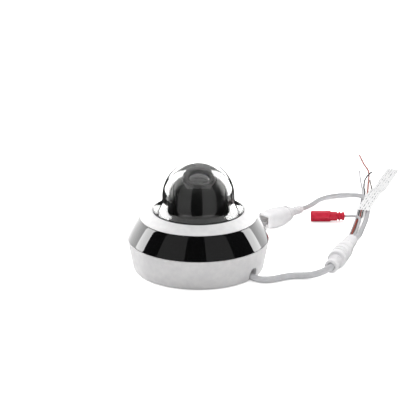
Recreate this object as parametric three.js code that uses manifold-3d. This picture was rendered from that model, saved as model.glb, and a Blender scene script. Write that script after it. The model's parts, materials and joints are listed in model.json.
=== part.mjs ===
// Dome surveillance camera: a white round base, a sloped black infrared window, a clear
// bubble with a motorised camera ball inside, and a cable tail with its connectors.
// Millimetres, +Z up. The origin is the centre of the base's flat underside.
import * as THREE from "three";
import { mergeVertices } from "three/addons/utils/BufferGeometryUtils.js";
import Module from "manifold-3d";

const wasm = await Module();
wasm.setup();

// ---------- overall sizes ----------
const bodyDiameter = 130.7;
const shoulderHeight = 28.8;      // where the white base meets the black window
const footRadius = 60.5;          // base radius just above its rounded foot
const footRound = 3;
const ballRadius = 27.6;          // camera ball inside the bubble
const gap = 0.3;                  // between faces that touch or seat on each other

// ---------- bubble and the ring that holds it ----------
const bubbleWall = 2;
const bubbleClearance = 3.5;      // ball to the inside of the bubble
const ballDrop = 2.6;             // ball centre below the bubble's centre
const flareWidth = 8.5;           // bubble's side to the ring's opening
const flareOffset = 3.6;          // bubble's centre down to where it flares
const flareDrop = 13.2;           // bubble's centre down to the ring's top
const ringSlopeWidth = 12.3;
const ringSlopeHeight = 6.4;
const ringSeatDepth = 5;          // ring's top down to the face that presses on the gasket
const gasketThickness = 1;
const flangeThickness = 2;
const flangeWidth = 4.9;
const clampThickness = 1.8;
const shroudWall = 1.4;
const shroudMouthRadius = 31;     // black liner round the yoke
const ringBossRadius = 2.2;

// ---------- base housing ----------
const housingWall = 2.8;
const floorBottom = 8.5;
const floorThickness = 2.5;
const rimWidth = 3;
const notchWidth = 10;
const notchHeight = 12.3;
const notchAngle = -36;           // degrees, where the cable leaves
const tunnelWall = 1.8;
const tunnelStart = 46;
const mountHoleCircle = 52.5;
const mountHoleRadius = 2.4;
const mountBossRadius = 4.5;
const windowWall = 2.4;
const windowBulge = 0.6;

// ---------- electronics ----------
const boardRadius = 43;
const boardThickness = 1.6;
const boardStandoff = 3;
const boardHeadroom = 7.4;        // main board up to the chassis; with the ball it sets the height
const legInset = 3.5;
const legRadius = 3;
const legAngles = [90, 210, 330];
const irBoardDrop = 13;           // window's top down to the lamp board
const irBoardThickness = 1.4;
const irBoardInner = 40;
const irBoardOuter = 56;
const irPostCircle = 46;
const ledCircle = 50;
const ledRadius = 2.6;
const ledCount = 4;
const screwRadius = 1.2;
const screwHeadRadius = 2.2;
const screwHeadHeight = 1.5;

// ---------- pan drive ----------
const panModule = 1;
const panGearTeeth = 60;
const panPinionTeeth = 12;
const panGearThickness = 3.5;
const panMotorAngle = 150;        // a whole number of gear teeth round from +X
const panMotorRadius = 10;
const motorBossRadius = 3.9;
const panShaftRadius = 1.5;
const panShaftDepth = 4;
const panMotorClearance = 0.5;    // motor above the floor of the base
const panGearClearance = 1.9;     // gear above the chassis
const turntableRadius = 29.6;
const turntableThickness = 2.5;
const hubRadius = 6;
const hubBore = 3.5;
const bearingWidth = 3.5;
const bearingRing = 4.4;
const chassisThickness = 2.5;
const chassisRadius = 50.5;

// ---------- tilt drive and camera ball ----------
const restPan = 6;                // degrees the yoke is turned, at rest: one tooth of the pan gear
const restTilt = 20;              // degrees that the lens leans from straight up, at rest
const drumHalfWidth = 22.7;
const cheekGap = 0.6;
const shellWall = 1.6;
const yokeRise = 2.5;             // yoke's round sides up past the ball's centre
const armFloorClearance = 4.7;    // ball's underside to the turntable
const tiltModule = 0.8;
const tiltGearTeeth = 20;
const tiltPinionTeeth = 10;
const tiltGearThickness = 3;
const tiltGearInset = 2.1;        // gear to the inside of the ball's flat side
const pivotRadius = 3;
const tiltMotorRadius = 5;
const tiltMotorLength = 17.4;
const tiltMotorSetback = 8.6;
const tiltShaftRadius = 1;
const barrelRadius = 11;
const barrelBore = 9;
const lensGlassRadius = 9.8;
const lensFaceDistance = 25.5;
const lensRingRadius = 15;
const lensRingDistance = 26.7;
const lensRingBore = 10.2;

// ---------- cable tail ----------
const glandRadius = 4;
const glandStart = 33;
const glandLength = 9;
const mainCableRadius = 3.1;
const dataLeadRadius = 2.4;
const powerLeadRadius = 1.4;
const wireRadius = 0.7;
const junctionStart = [120.6, -24.8, 8.75];
const junctionEnd = [145.9, 45.6, 8.75];
const junctionRadius = 8.7;
const nutLength = 18.3;
const jackBootEnd = [103.2, 133.7, 9];
const jackHeading = 42;           // degrees from +X of the line from the jack to its lead
const jackWidth = 20;
const jackHeight = 17.6;
const jackLength = 30;
const bootLength = 22;
const barrelJackStart = [112.1, 121.9, 5.5];
const barrelJackLength = 33.4;
const barrelJackRadius = 5.45;
const labelStart = [165, 135, 0];
const labelHeading = 72.5;
const labelLength = 162;
const labelWidth = 13;
const labelThickness = 0.5;

// ---------- levels, from the floor of the base up to the bubble ----------
const bodyRadius = bodyDiameter / 2;
const floorTop = floorBottom + floorThickness;
const boardBottom = floorTop + boardStandoff;
const boardTop = boardBottom + boardThickness;
const chassisBottom = boardTop + boardHeadroom;
const chassisTop = chassisBottom + chassisThickness;
const panGearBottom = chassisTop + panGearClearance;
const panGearTop = panGearBottom + panGearThickness;
const turntableBottom = panGearTop + gap;
const turntableTop = turntableBottom + turntableThickness;
const ballCentre = turntableTop + armFloorClearance + ballRadius;
const bubbleCentre = ballCentre + ballDrop;
const bubbleRadius = ballRadius + bubbleClearance + bubbleWall;
const flareStart = bubbleCentre - flareOffset;
const collarRadius = bubbleRadius + flareWidth;
const ringTop = bubbleCentre - flareDrop;
const windowTopRadius = collarRadius + ringSlopeWidth;
const windowTop = ringTop - ringSlopeHeight;
const clampScrewCircle = collarRadius + flangeWidth + ringBossRadius - 0.1;
const ringSeat = ringTop - ringSeatDepth;
const gasketBottom = ringSeat - gap - gasketThickness;
const flangeTop = gasketBottom - gap;
const flangeBottom = flangeTop - flangeThickness;
const clampTop = flangeBottom - gap;
const clampBottom = clampTop - clampThickness;
const irBoardHeight = windowTop - irBoardDrop;
const legCircle = boardRadius - legInset;
const panGearRadius = (panModule * panGearTeeth) / 2;
const panPinionRadius = (panModule * panPinionTeeth) / 2;
const tiltGearRadius = (tiltModule * tiltGearTeeth) / 2;
const tiltPinionRadius = (tiltModule * tiltPinionTeeth) / 2;
const panMotorDistance = panGearRadius + panPinionRadius;
const tiltMotorDistance = tiltGearRadius + tiltPinionRadius;
const tiltGearStart = drumHalfWidth - shellWall - tiltGearInset - tiltGearThickness;

const camera = new THREE.Group();
const carriage = new THREE.Group();
carriage.rotation.z = THREE.MathUtils.degToRad(restPan);
camera.add(carriage);
const ball = new THREE.Group();   // turned by restTilt; its +Z is the lens axis
ball.position.z = ballCentre;
ball.rotation.x = THREE.MathUtils.degToRad(restTilt);
carriage.add(ball);

// ---------- geometry helpers ----------
function closed(geometry) {
  const bare = geometry.index ? geometry.toNonIndexed() : geometry.clone();
  bare.deleteAttribute("normal");
  bare.deleteAttribute("uv");
  return mergeVertices(bare, 1e-4);
}

function toSolid(geometry) {
  const merged = closed(geometry);
  const corners = merged.index.array;
  const kept = [];
  for (let i = 0; i < corners.length; i += 3) {
    const [a, b, c] = [corners[i], corners[i + 1], corners[i + 2]];
    if (a !== b && b !== c && c !== a) kept.push(a, b, c);
  }
  const vertProperties = new Float32Array(merged.attributes.position.array);
  return new wasm.Manifold(new wasm.Mesh({ numProp: 3, vertProperties, triVerts: new Uint32Array(kept) }));
}

function toGeometry(solid) {
  const mesh = solid.getMesh();
  const geometry = new THREE.BufferGeometry();
  geometry.setAttribute("position", new THREE.BufferAttribute(new Float32Array(mesh.vertProperties), 3));
  geometry.setIndex(new THREE.BufferAttribute(new Uint32Array(mesh.triVerts), 1));
  return geometry;
}

function join(first, ...others) {
  return toGeometry(others.reduce((solid, other) => solid.add(toSolid(other)), toSolid(first)));
}

function cut(first, ...tools) {
  return toGeometry(tools.reduce((solid, tool) => solid.subtract(toSolid(tool)), toSolid(first)));
}

function common(first, second) {
  return toGeometry(toSolid(first).intersect(toSolid(second)));
}

// A profile of [radius, height] points turned about Z. It starts and ends on the axis,
// or it is a ring and is closed here.
function turned(profile, segments = 28) {
  const points = profile.map(([radius, height]) => new THREE.Vector2(radius, height));
  if (points[0].x > 0) points.push(points[0].clone());
  if (THREE.ShapeUtils.area(points) < 0) points.reverse();
  return new THREE.LatheGeometry(points, segments).rotateX(Math.PI / 2);
}

function ring(inner, outer, bottom, top, segments = 28) {
  return turned([[inner, bottom], [outer, bottom], [outer, top], [inner, top]], segments);
}

function drum(radius, bottom, top, segments = 12) {
  const geometry = new THREE.CylinderGeometry(radius, radius, top - bottom, segments);
  return geometry.rotateX(Math.PI / 2).translate(0, 0, (bottom + top) / 2);
}

function block(width, depth, bottom, top) {
  return new THREE.BoxGeometry(width, depth, top - bottom).translate(0, 0, (bottom + top) / 2);
}

function polar(radius, degrees) {
  const angle = THREE.MathUtils.degToRad(degrees);
  return [radius * Math.cos(angle), radius * Math.sin(angle)];
}

function shiftedTo(geometry, [x, y], z = 0) {
  return geometry.translate(x, y, z);
}

function extruded(shape, bottom, top, curveSegments = 12) {
  const options = { depth: top - bottom, bevelEnabled: false, curveSegments };
  return new THREE.ExtrudeGeometry(shape, options).translate(0, 0, bottom);
}

function roundedBox(width, height, corner) {
  const x = width / 2 - corner;
  const y = height / 2 - corner;
  const shape = new THREE.Shape();
  shape.absarc(x, y, corner, 0, Math.PI / 2);
  shape.absarc(-x, y, corner, Math.PI / 2, Math.PI);
  shape.absarc(-x, -y, corner, Math.PI, 1.5 * Math.PI);
  shape.absarc(x, -y, corner, 1.5 * Math.PI, 2 * Math.PI);
  return shape;
}

function archShape(width, height) {
  const shape = new THREE.Shape();
  shape.moveTo(-width / 2, -1);
  shape.lineTo(width / 2, -1);
  shape.absarc(0, height - width / 2, width / 2, 0, Math.PI);
  return shape;
}

// Involute gear with straight flanks between its root and its tip, and a little backlash.
function gearShape(teeth, module, boreRadius, turn = 0) {
  const pressureAngle = THREE.MathUtils.degToRad(20);
  const involute = (angle) => Math.tan(angle) - angle;
  const pitch = (teeth * module) / 2;
  const base = pitch * Math.cos(pressureAngle);
  const tip = pitch + 0.9 * module;
  const root = pitch - 1.2 * module;
  const backlash = 0.16 * module;
  const halfAngle = (radius) =>
    (Math.PI * module - backlash) / (4 * pitch) +
    involute(pressureAngle) -
    involute(Math.acos(Math.min(1, base / radius)));
  const points = [];
  for (let tooth = 0; tooth < teeth; tooth += 1) {
    const middle = (2 * Math.PI * tooth) / teeth + turn;
    const flank = [[root, -1], [tip, -1], [tip, 1], [root, 1]];
    for (const [radius, side] of flank) {
      const angle = middle + side * halfAngle(radius);
      points.push(new THREE.Vector2(radius * Math.cos(angle), radius * Math.sin(angle)));
    }
  }
  const shape = new THREE.Shape(points);
  if (boreRadius > 0) shape.holes.push(new THREE.Path().absarc(0, 0, boreRadius, 0, 2 * Math.PI, true));
  return shape;
}

function tube(route, radius, sides, steps) {
  const corners = Array.from({ length: sides }, (_, i) => (2 * Math.PI * i) / sides);
  const section = new THREE.Shape(
    corners.map((angle) => new THREE.Vector2(radius * Math.cos(angle), radius * Math.sin(angle))),
  );
  const points = route.map((point) => new THREE.Vector3(...point));
  const extrudePath = new THREE.CatmullRomCurve3(points, false, "centripetal");
  return new THREE.ExtrudeGeometry(section, { steps, bevelEnabled: false, extrudePath });
}

// Turns a piece built along +Z to lie along a level heading, with its +Y up.
function laid(geometry, [x, y, z], degrees) {
  const along = new THREE.Vector3(...polar(1, degrees), 0);
  const up = new THREE.Vector3(0, 0, 1);
  const across = new THREE.Vector3().crossVectors(up, along);
  return geometry.applyMatrix4(new THREE.Matrix4().makeBasis(across, up, along).setPosition(x, y, z));
}

function finish(color, roughness, metalness = 0) {
  return new THREE.MeshStandardMaterial({ color, roughness, metalness });
}

function addPiece(name, geometry, material, parent = camera) {
  const mesh = new THREE.Mesh(closed(geometry), material);
  mesh.name = name;
  parent.add(mesh);
  return mesh;
}

const whiteShell = () => finish(0xf0f0f0, 0.55);
const blackPlastic = () => finish(0x101012, 0.3);
const circuitBoard = () => finish(0x1f5a34, 0.5);
const steel = () => finish(0xb8bcc0, 0.35, 1);
const clearPlastic = () => Object.assign(finish(0xeef4f6, 0.05), { transparent: true, opacity: 0.25 });
const whiteJacket = () => finish(0xe2e2e4, 0.5);

// ---------- base ----------
function housingRadiusAt(height) {
  const rise = (height - footRound) / (shoulderHeight - footRound);
  return footRadius + rise * (bodyRadius - footRadius);
}

function footArc(steps = 3) {
  return Array.from({ length: steps + 1 }, (_, i) => {
    const angle = (Math.PI / 2) * (i / steps);
    return [
      footRadius - footRound + footRound * Math.sin(angle),
      footRound - footRound * Math.cos(angle),
    ];
  });
}

function baseHousing() {
  const shell = turned([
    [0, floorBottom],
    [housingRadiusAt(floorBottom) - housingWall, floorBottom],
    [footRadius - footRound - rimWidth, 0],
    ...footArc(),
    [bodyRadius, shoulderHeight],
    [bodyRadius - housingWall, shoulderHeight],
    [housingRadiusAt(floorTop) - housingWall, floorTop],
    [0, floorTop],
  ], 40);
  const tunnel = extruded(archShape(notchWidth + 2 * tunnelWall, notchHeight + tunnelWall), 0, 11);
  const notch = extruded(archShape(notchWidth, notchHeight), 0, 30);
  const passage = block(notchWidth, 10, -6, 0).translate(0, floorBottom - 5, 0);
  const tunnelPlace = [...polar(tunnelStart, notchAngle), 0];
  const notchPlace = [...polar(tunnelStart + tunnelWall, notchAngle), 0];
  const legBosses = legAngles.map((angle) =>
    shiftedTo(drum(legRadius, floorTop - 0.5, boardBottom - gap), polar(legCircle, angle)));
  const legHoles = legAngles.map((angle) =>
    shiftedTo(drum(screwRadius + gap, floorTop + 0.8, boardBottom + 1), polar(legCircle, angle)));
  const mountAngles = [60, 180, 300].map((turn) => notchAngle + turn);
  const mountBosses = mountAngles.map((angle) =>
    shiftedTo(drum(mountBossRadius, 0, floorBottom + 0.5), polar(mountHoleCircle, angle)));
  const mountHoles = mountAngles.map((angle) =>
    shiftedTo(drum(mountHoleRadius, -1, floorTop + 1), polar(mountHoleCircle, angle)));
  const clearBelow = block(3 * bodyRadius, 3 * bodyRadius, -5, 0);   // keeps the underside flat
  return cut(
    join(shell, laid(tunnel, tunnelPlace, notchAngle), ...legBosses, ...mountBosses),
    laid(notch, notchPlace, notchAngle),
    laid(passage, notchPlace, notchAngle),
    ...legHoles,
    ...mountHoles,
    clearBelow,
  );
}

// Points up the window's face, which bulges a little between its two edges.
function windowFace(inset, steps = 2) {
  const bottom = [bodyRadius - 0.15 - inset, shoulderHeight + gap];
  const top = [windowTopRadius - inset, windowTop - 0.15];
  return Array.from({ length: steps + 1 }, (_, i) => {
    const t = i / steps;
    const bulge = windowBulge * 4 * t * (1 - t);
    return [bottom[0] + (top[0] - bottom[0]) * t + bulge, bottom[1] + (top[1] - bottom[1]) * t];
  });
}

function irWindow() {
  const inset = windowWall * 1.15;
  const lipOuter = housingRadiusAt(shoulderHeight - 3.3) - housingWall - gap;
  return turned([
    ...windowFace(0),
    ...windowFace(inset).reverse().slice(0, -1),
    [lipOuter - 1.6, shoulderHeight + 3],
    [lipOuter - 1.6, shoulderHeight - 3.3],
    [lipOuter, shoulderHeight - 3.3],
    [lipOuter, shoulderHeight + gap],
  ], 40);
}

function clampScrewPlaces() {
  return [30, 150, 270].map((angle) => polar(clampScrewCircle, angle));
}

function topRing() {
  const underside = windowTop + 0.15;
  const wedge = turned([
    [collarRadius, ringSeat],
    [collarRadius + flangeWidth, ringSeat],
    [windowTopRadius - 3.8, underside],
    [windowTopRadius, underside],
    [windowTopRadius - 0.3, underside + 0.5],
    [collarRadius + 1.2, ringTop - 0.15],
    [collarRadius + 0.4, ringTop],
    [collarRadius, ringTop - 0.4],
  ], 40);
  const bosses = clampScrewPlaces().map((place) =>
    shiftedTo(drum(ringBossRadius, clampTop + gap, underside + 1, 10), place));
  const holes = clampScrewPlaces().map((place) =>
    shiftedTo(drum(screwRadius + gap, clampTop, underside + 0.8, 12), place));
  return cut(join(wedge, ...bosses), ...holes);
}

function dome() {
  const arcPoints = (radius, steps) => Array.from({ length: steps }, (_, i) => {
    const angle = (Math.PI / 2) * (i / steps);
    return [radius * Math.sin(angle), bubbleCentre + radius * Math.cos(angle)];
  });
  const flare = (radius, foot, lift) => {
    const curve = new THREE.QuadraticBezierCurve(
      new THREE.Vector2(radius, flareStart),
      new THREE.Vector2(radius + 1.5, ringTop + 4.6 - lift),
      new THREE.Vector2(foot, ringTop + 0.8 - lift),
    );
    return curve.getPoints(3).map((point) => [point.x, point.y]);
  };
  const inner = bubbleRadius - bubbleWall;
  const foot = collarRadius - gap;
  return turned([
    ...arcPoints(bubbleRadius, 7),
    ...flare(bubbleRadius, foot, 0),
    [foot, flangeTop],
    [foot + flangeWidth - gap, flangeTop],
    [foot + flangeWidth - gap, flangeBottom],
    [foot - bubbleWall, flangeBottom],
    ...flare(inner, foot - bubbleWall, 1.2).reverse(),
    ...arcPoints(inner, 6).reverse(),
  ]);
}

function clampRing() {
  const flat = ring(collarRadius - 2.1, collarRadius + 5.6, clampBottom, clampTop);
  const ears = clampScrewPlaces().map((place) =>
    shiftedTo(drum(ringBossRadius + 0.7, clampBottom, clampTop, 12), place));
  const holes = clampScrewPlaces().map((place) =>
    shiftedTo(drum(screwRadius + gap, clampBottom - 1, clampTop + 1, 12), place));
  return cut(join(flat, ...ears), ...holes);
}

// A pan-head screw that points up from its head at height 0.
function screw(length) {
  return turned([
    [0, 0.5],
    [0.8, 0.5],
    [1.1, 0],
    [screwHeadRadius - 0.4, 0],
    [screwHeadRadius, 0.5],
    [screwHeadRadius, screwHeadHeight],
    [screwRadius, screwHeadHeight],
    [screwRadius, length - 0.6],
    [screwRadius - 0.5, length],
    [0, length],
  ], 6);
}

function innerShroud() {
  const shelf = ringTop - 2.9;
  const skirt = collarRadius - bubbleWall - 2 * gap - 1.2;
  const footTop = clampBottom - gap;
  return turned([
    [shroudMouthRadius, ringTop + 1.6],
    [skirt, shelf],
    [skirt, footTop],
    [skirt + 5, footTop],
    [skirt + 5, footTop - shroudWall],
    [skirt - shroudWall, footTop - shroudWall],
    [skirt - shroudWall, shelf - shroudWall / 2],
    [shroudMouthRadius, ringTop - 0.1],
  ]);
}

// ---------- chassis and electronics ----------
function chassis() {
  const plate = ring(hubRadius + bearingRing + 2 * gap, chassisRadius, chassisBottom, chassisTop);
  const legs = legAngles.map((angle) =>
    shiftedTo(drum(legRadius, boardTop + gap, chassisBottom + 0.5), polar(legCircle, angle)));
  const posts = legAngles.map((angle) =>
    shiftedTo(drum(2.2, chassisTop - 0.5, irBoardHeight - gap, 12), polar(irPostCircle, angle + 45)));
  const holes = legAngles.map((angle) =>
    shiftedTo(drum(screwRadius + gap, boardTop - 1, chassisTop + 1, 12), polar(legCircle, angle)));
  const motorHole = shiftedTo(
    drum(motorBossRadius + gap, chassisBottom - 1, chassisTop + 1), polar(panMotorDistance, panMotorAngle));
  return cut(join(plate, ...legs, ...posts), ...holes, motorHole);
}

function mainBoard() {
  const plate = drum(boardRadius, boardBottom, boardTop, 36);
  const motorBay = shiftedTo(
    drum(panMotorRadius + 1, boardBottom - 1, boardTop + 1, 24), polar(panMotorDistance, panMotorAngle));
  const holes = legAngles.map((angle) =>
    shiftedTo(drum(screwRadius + gap, boardBottom - 1, boardTop + 1, 12), polar(legCircle, angle)));
  return cut(plate, motorBay, ...holes);
}

function heatSink() {
  const fins = [-10.5, -5.25, 0, 5.25, 10.5].map((x) => block(1.8, 26, 1, 5).translate(x, 0, 0));
  return join(block(26, 26, 0, 1.8), ...fins);
}

function networkTransformer() {
  return join(block(15, 11, 0, 5), ...[-5, 0, 5].map((x) => block(1, 14, 0, 1).translate(x, 0, 0)));
}

function cardSocket() {
  const slot = block(11.6, 14, gap, 1.3 + gap).translate(0, -1.5, 0.3);
  return cut(block(14, 14.5, 0, 2.2), slot);
}

function memoryCard() {
  const outline = new THREE.Shape();
  outline.moveTo(-5.5, -7.5);
  outline.lineTo(5.5, -7.5);
  outline.lineTo(5.5, 7.5);
  outline.lineTo(-3, 7.5);
  outline.lineTo(-5.5, 4.5);
  outline.closePath();
  return extruded(outline, 0, 0.7);
}

function resetSwitch() {
  return cut(block(6, 6, 0, 3), drum(1.6, 1.6, 4, 12));
}

function irLamp() {
  return turned([[0, 0], [ledRadius + 0.5, 0], [ledRadius + 0.5, 0.8], [ledRadius, 0.8],
    [ledRadius * 0.92, 2], [ledRadius * 0.6, 2.9], [0, 3.3]], 8);
}

// ---------- pan drive ----------
function panMotor() {
  const body = drum(panMotorRadius, floorTop + panMotorClearance, chassisBottom - gap, 24);
  const boss = drum(motorBossRadius, chassisBottom - 1, chassisTop, 20);
  const shaftBore = drum(panShaftRadius + gap, chassisTop - panShaftDepth, chassisTop + 1, 12);
  return cut(join(body, boss), shaftBore);
}

function panPinion() {
  const halfTooth = Math.PI / panPinionTeeth;
  const turn = THREE.MathUtils.degToRad(panMotorAngle + 180) + halfTooth;
  const teeth = extruded(gearShape(panPinionTeeth, panModule, 0, turn), panGearBottom, panGearTop);
  return join(teeth, drum(panShaftRadius, chassisTop - panShaftDepth + gap, panGearBottom + 0.5, 12));
}

function turntable() {
  const disc = ring(hubBore, turntableRadius, turntableBottom, turntableTop);
  const hub = ring(hubBore, hubRadius, chassisBottom - 1.5, turntableTop - 0.5, 20);
  return join(disc, hub);
}

// One side of the yoke: round like the turntable up past the tilt axis, and round like the ball above.
function yokeSide(side) {
  const sphere = new THREE.SphereGeometry(ballRadius, 24, 16).rotateZ(Math.PI / 2);
  const column = drum(turntableRadius, turntableTop + gap - ballCentre, yokeRise, 28);
  const inner = drumHalfWidth + cheekGap;
  const region = new THREE.BoxGeometry(20, 80, 80).translate(side * (inner + 10), 0, 0);
  return join(common(sphere, region), common(column, region)).translate(0, 0, ballCentre);
}

function leftYokeSide() {
  const inner = drumHalfWidth + cheekGap;
  const stub = drum(pivotRadius, -inner - 0.5, -inner + 4).rotateY(Math.PI / 2).translate(0, 0, ballCentre);
  return join(yokeSide(-1), stub);
}

// ---------- camera ball, built with the tilt axis along X and the lens axis along +Z ----------
function ballShell(front) {
  const sphere = (radius) => new THREE.SphereGeometry(radius, 24, 12).rotateZ(Math.PI / 2);
  const half = (halfWidth) => new THREE.BoxGeometry(2 * halfWidth, 80, 40).translate(0, 0, 20 + gap / 2);
  const outside = common(sphere(ballRadius), half(drumHalfWidth));
  const inside = new THREE.BoxGeometry(2 * (drumHalfWidth - shellWall), 80, 80);
  const hollow = common(sphere(ballRadius - shellWall), inside);
  const axle = drum(pivotRadius + gap, -40, 40).rotateY(Math.PI / 2);
  if (front) return cut(outside, hollow, axle, drum(lensRingBore + 2.3, 10, 40, 20));
  return cut(outside, hollow, axle).rotateX(Math.PI);
}

function lensRing() {
  const throat = lensRingBore + 2;
  const foot = lensFaceDistance - 4.1;
  return turned([
    [lensRingBore, foot],
    [throat, foot],
    [throat, lensFaceDistance - 0.5],
    [throat + 0.5, lensFaceDistance - 0.5],
    [lensRingRadius, lensFaceDistance - 1.9],
    [lensRingRadius, lensRingDistance - 0.6],
    [lensRingRadius - 0.6, lensRingDistance],
    [lensRingRadius - 1.6, lensRingDistance],
    [lensRingBore, lensFaceDistance],
  ], 20);
}

function frontLens() {
  const back = lensFaceDistance - 2.9;
  return turned([[0, back], [lensGlassRadius, back], [lensGlassRadius, back + 1.2],
    [lensGlassRadius * 0.75, back + 2.1], [lensGlassRadius * 0.4, back + 2.7], [0, lensFaceDistance]], 16);
}

function lensBarrel() {
  const collar = barrelRadius + 2.5;
  return turned([[4, -2], [barrelRadius, -2], [barrelRadius, 19.5], [collar, 19.5], [collar, 21],
    [barrelBore, 21], [barrelBore, -0.6], [4, -0.6]], 16);
}

function lensGroup(bottom, top) {
  const cell = barrelBore - 0.4;
  const glass = cell - 1.4;
  const rim = 0.6;
  return turned([[0, bottom], [glass, bottom + rim], [cell, bottom + rim], [cell, top - rim],
    [glass, top - rim], [0, top]], 12);
}

function sensorBoard() {
  const width = 2 * (tiltGearStart - 2);
  return join(block(width, 28, -6.2, -5), block(12, 9, -5.1, -3.8));
}

function tiltMotor() {
  const face = tiltMotorSetback - 0.6;
  const shaftBore = drum(tiltShaftRadius + gap, face - 4, face + 4, 10);
  return cut(drum(tiltMotorRadius, face - tiltMotorLength, face, 20), shaftBore);
}

function tiltPinion() {
  const turn = Math.PI / tiltPinionTeeth;
  const teeth = extruded(gearShape(tiltPinionTeeth, tiltModule, 0, turn), 0, tiltGearThickness);
  return join(teeth, drum(tiltShaftRadius, -4.5, 0.5, 10));
}

function tiltGear() {
  const teeth = extruded(gearShape(tiltGearTeeth, tiltModule, 0), 0, tiltGearThickness);
  const reach = drumHalfWidth + cheekGap - gap - tiltGearStart;
  return join(teeth, drum(pivotRadius, tiltGearThickness - 0.5, reach, 16));
}

// Turns a piece built along +Z so that it runs along +X, with its +X on the lens axis.
function alongTiltAxis(geometry, [x, y, z]) {
  const turnedOver = new THREE.Matrix4().makeBasis(
    new THREE.Vector3(0, 0, 1), new THREE.Vector3(0, 1, 0).negate(), new THREE.Vector3(1, 0, 0));
  return geometry.applyMatrix4(turnedOver.setPosition(x, y, z));
}

// ---------- cable tail ----------
const junctionHeading = THREE.MathUtils.radToDeg(
  Math.atan2(junctionEnd[1] - junctionStart[1], junctionEnd[0] - junctionStart[0]));
const junctionLength = Math.hypot(junctionEnd[0] - junctionStart[0], junctionEnd[1] - junctionStart[1]);

const mainCableRoute = [
  [34.5, -25.1, 4.2], [41, -29.8, 3.9], [46.5, -33.8, 3.5], [50.5, -37.4, 3.25], [54.6, -40.4, 3.2],
  [59.5, -41.9, 3.2], [65.5, -41.2, 3.2], [72, -38.2, 3.2], [79, -34.5, 3.2], [86, -32.2, 3.2],
  [92.5, -32, 3.25], [99, -32.6, 3.7], [105.5, -32.9, 4.9], [111.5, -32.1, 6.6], [116.4, -29.7, 8.1],
  [119.6, -26.3, 8.7], [121.9, -21.4, 8.75],
];
const dataLeadRoute = [
  [148.7, 44.9, 8.75], [151.2, 52, 8.4], [155.4, 67, 5.6], [160.4, 91.8, 2.8], [166.9, 119.2, 2.5],
  [171, 143, 2.5], [173.8, 162, 2.9], [173.6, 176, 4.3], [168.4, 187, 4.5], [159.2, 192.5, 3.4],
  [147.1, 194.5, 2.6], [136.4, 189.7, 2.8], [125.1, 177, 4], [117.4, 158.5, 6.2], [111.6, 144.4, 8.2],
  [107.2, 137.6, 8.9], [103.45, 133.95, 9],
];
const powerLeadRoute = [
  [144.8, 46.3, 10.2], [147.2, 54, 9.2], [150.2, 67, 6], [154, 86, 2], [157.6, 102, 2.5], [159.6, 110, 4.2],
  [160, 117, 5.1], [157.6, 121.8, 5.3], [152.6, 123, 5.4], [148.6, 122.2, 5.5], [145.85, 121.9, 5.5],
];
const whiteWireRoute = [
  [142.2, 47.2, 9.6], [143.6, 54, 8.4], [145.6, 68, 5], [149, 86, 2.5], [153, 103, 2.5], [156.2, 118, 2.4],
  [158.6, 131, 1.1], [161.2, 147, 1], [164.6, 163, 1], [168, 180, 1], [170.4, 197, 1],
  [172.6, 212, 1], [173.4, 235.5, 1], [174.6, 262, 1], [176.2, 285.3, 1],
];
const blackWireRoute = [
  [141.9, 47.4, 7.9], [143.6, 54, 6.8], [146, 68, 3.4], [149.8, 86, 1], [153.8, 103, 1], [157, 118, 1],
  [160.2, 131, 1], [162.9, 147, 1], [166.3, 163, 1], [169.8, 180, 1], [172.5, 197, 1],
  [174.6, 209, 1], [175.4, 227, 1], [179, 249, 2.4], [184.4, 264.4, 2.7], [190.1, 280, 1],
];
const redWireRoute = [
  [143.6, 46.8, 7.9], [145.2, 54, 6.8], [147.6, 68, 4.4], [150.7, 86, 2.5], [154.7, 103, 2.5], [157.9, 118, 2.4],
  [161.9, 131, 1.1], [164.6, 147, 1], [168, 163, 1], [171.8, 180, 1], [175.2, 197, 1],
  [177.4, 209.1, 1], [180.6, 233.8, 1], [184.2, 262, 1], [185.5, 283.5, 1], [183.2, 304.9, 1],
  [180.9, 345.3, 1],
];
const greyWireRoute = [
  [144.8, 46.3, 6.5], [146.6, 54, 5.2], [148.8, 68, 2.2], [151.5, 86, 1], [155.5, 103, 1], [158.7, 118, 1],
  [163.6, 131, 1], [166.4, 147, 1], [169.8, 163, 1], [174.6, 180, 1], [179, 197, 1],
  [182.4, 212, 1], [183.2, 228, 1.4], [183.2, 240, 2.6], [184.6, 250.7, 2.4],
];

function junctionNut() {
  const ribs = [];
  for (let rib = 0; rib < 4; rib += 1) {
    const start = 7.4 + rib * 2.6;
    ribs.push([5.5, start], [6.1, start + 0.4], [6.1, start + 1.6], [5.5, start + 2]);
  }
  return turned([[0, 4], [mainCableRadius + 0.5, 4], [mainCableRadius + 0.5, 0], [5.6, 0], [6.25, 0.7], [6.25, 6],
    [5.5, 6.6], ...ribs, [5.5, nutLength], [0, nutLength]], 12);
}

function junctionBody() {
  const start = nutLength + gap;
  return turned([[0, start], [7.9, start], [junctionRadius, start + 0.9], [junctionRadius, 31], [8.1, 31.4],
    [8.1, 32.6], [junctionRadius, 33], [8.5, 46], [7.3, 53], [6.7, 53.4], [6.7, 54.6], [7.1, 55], [6.3, 61],
    [5.9, junctionLength - 1], [5.3, junctionLength - gap], [0, junctionLength - gap]], 14);
}

function dataJack() {
  const housing = extruded(roundedBox(jackWidth, jackHeight, 2.5), 0, jackLength, 3);
  const socket = block(11.9, 8.2, -1, 13.5).translate(0, 0.6, 0);
  const latchWay = block(5.6, 3.2, -1, 12).translate(0, -4.4, 0);
  return cut(housing, socket, latchWay);
}

function jackBoot() {
  const ribs = [];
  for (let rib = 0; rib < 4; rib += 1) {
    const start = 9.4 + rib * 3;
    ribs.push([3.6, start], [4.3, start + 0.4], [4.3, start + 1.8], [3.6, start + 2.2]);
  }
  return turned([[0, 0], [8.3, 0], [7.6, 3], [5.2, 7.4], [4, 8.8], ...ribs, [3.5, bootLength], [0, bootLength]], 10);
}

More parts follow.
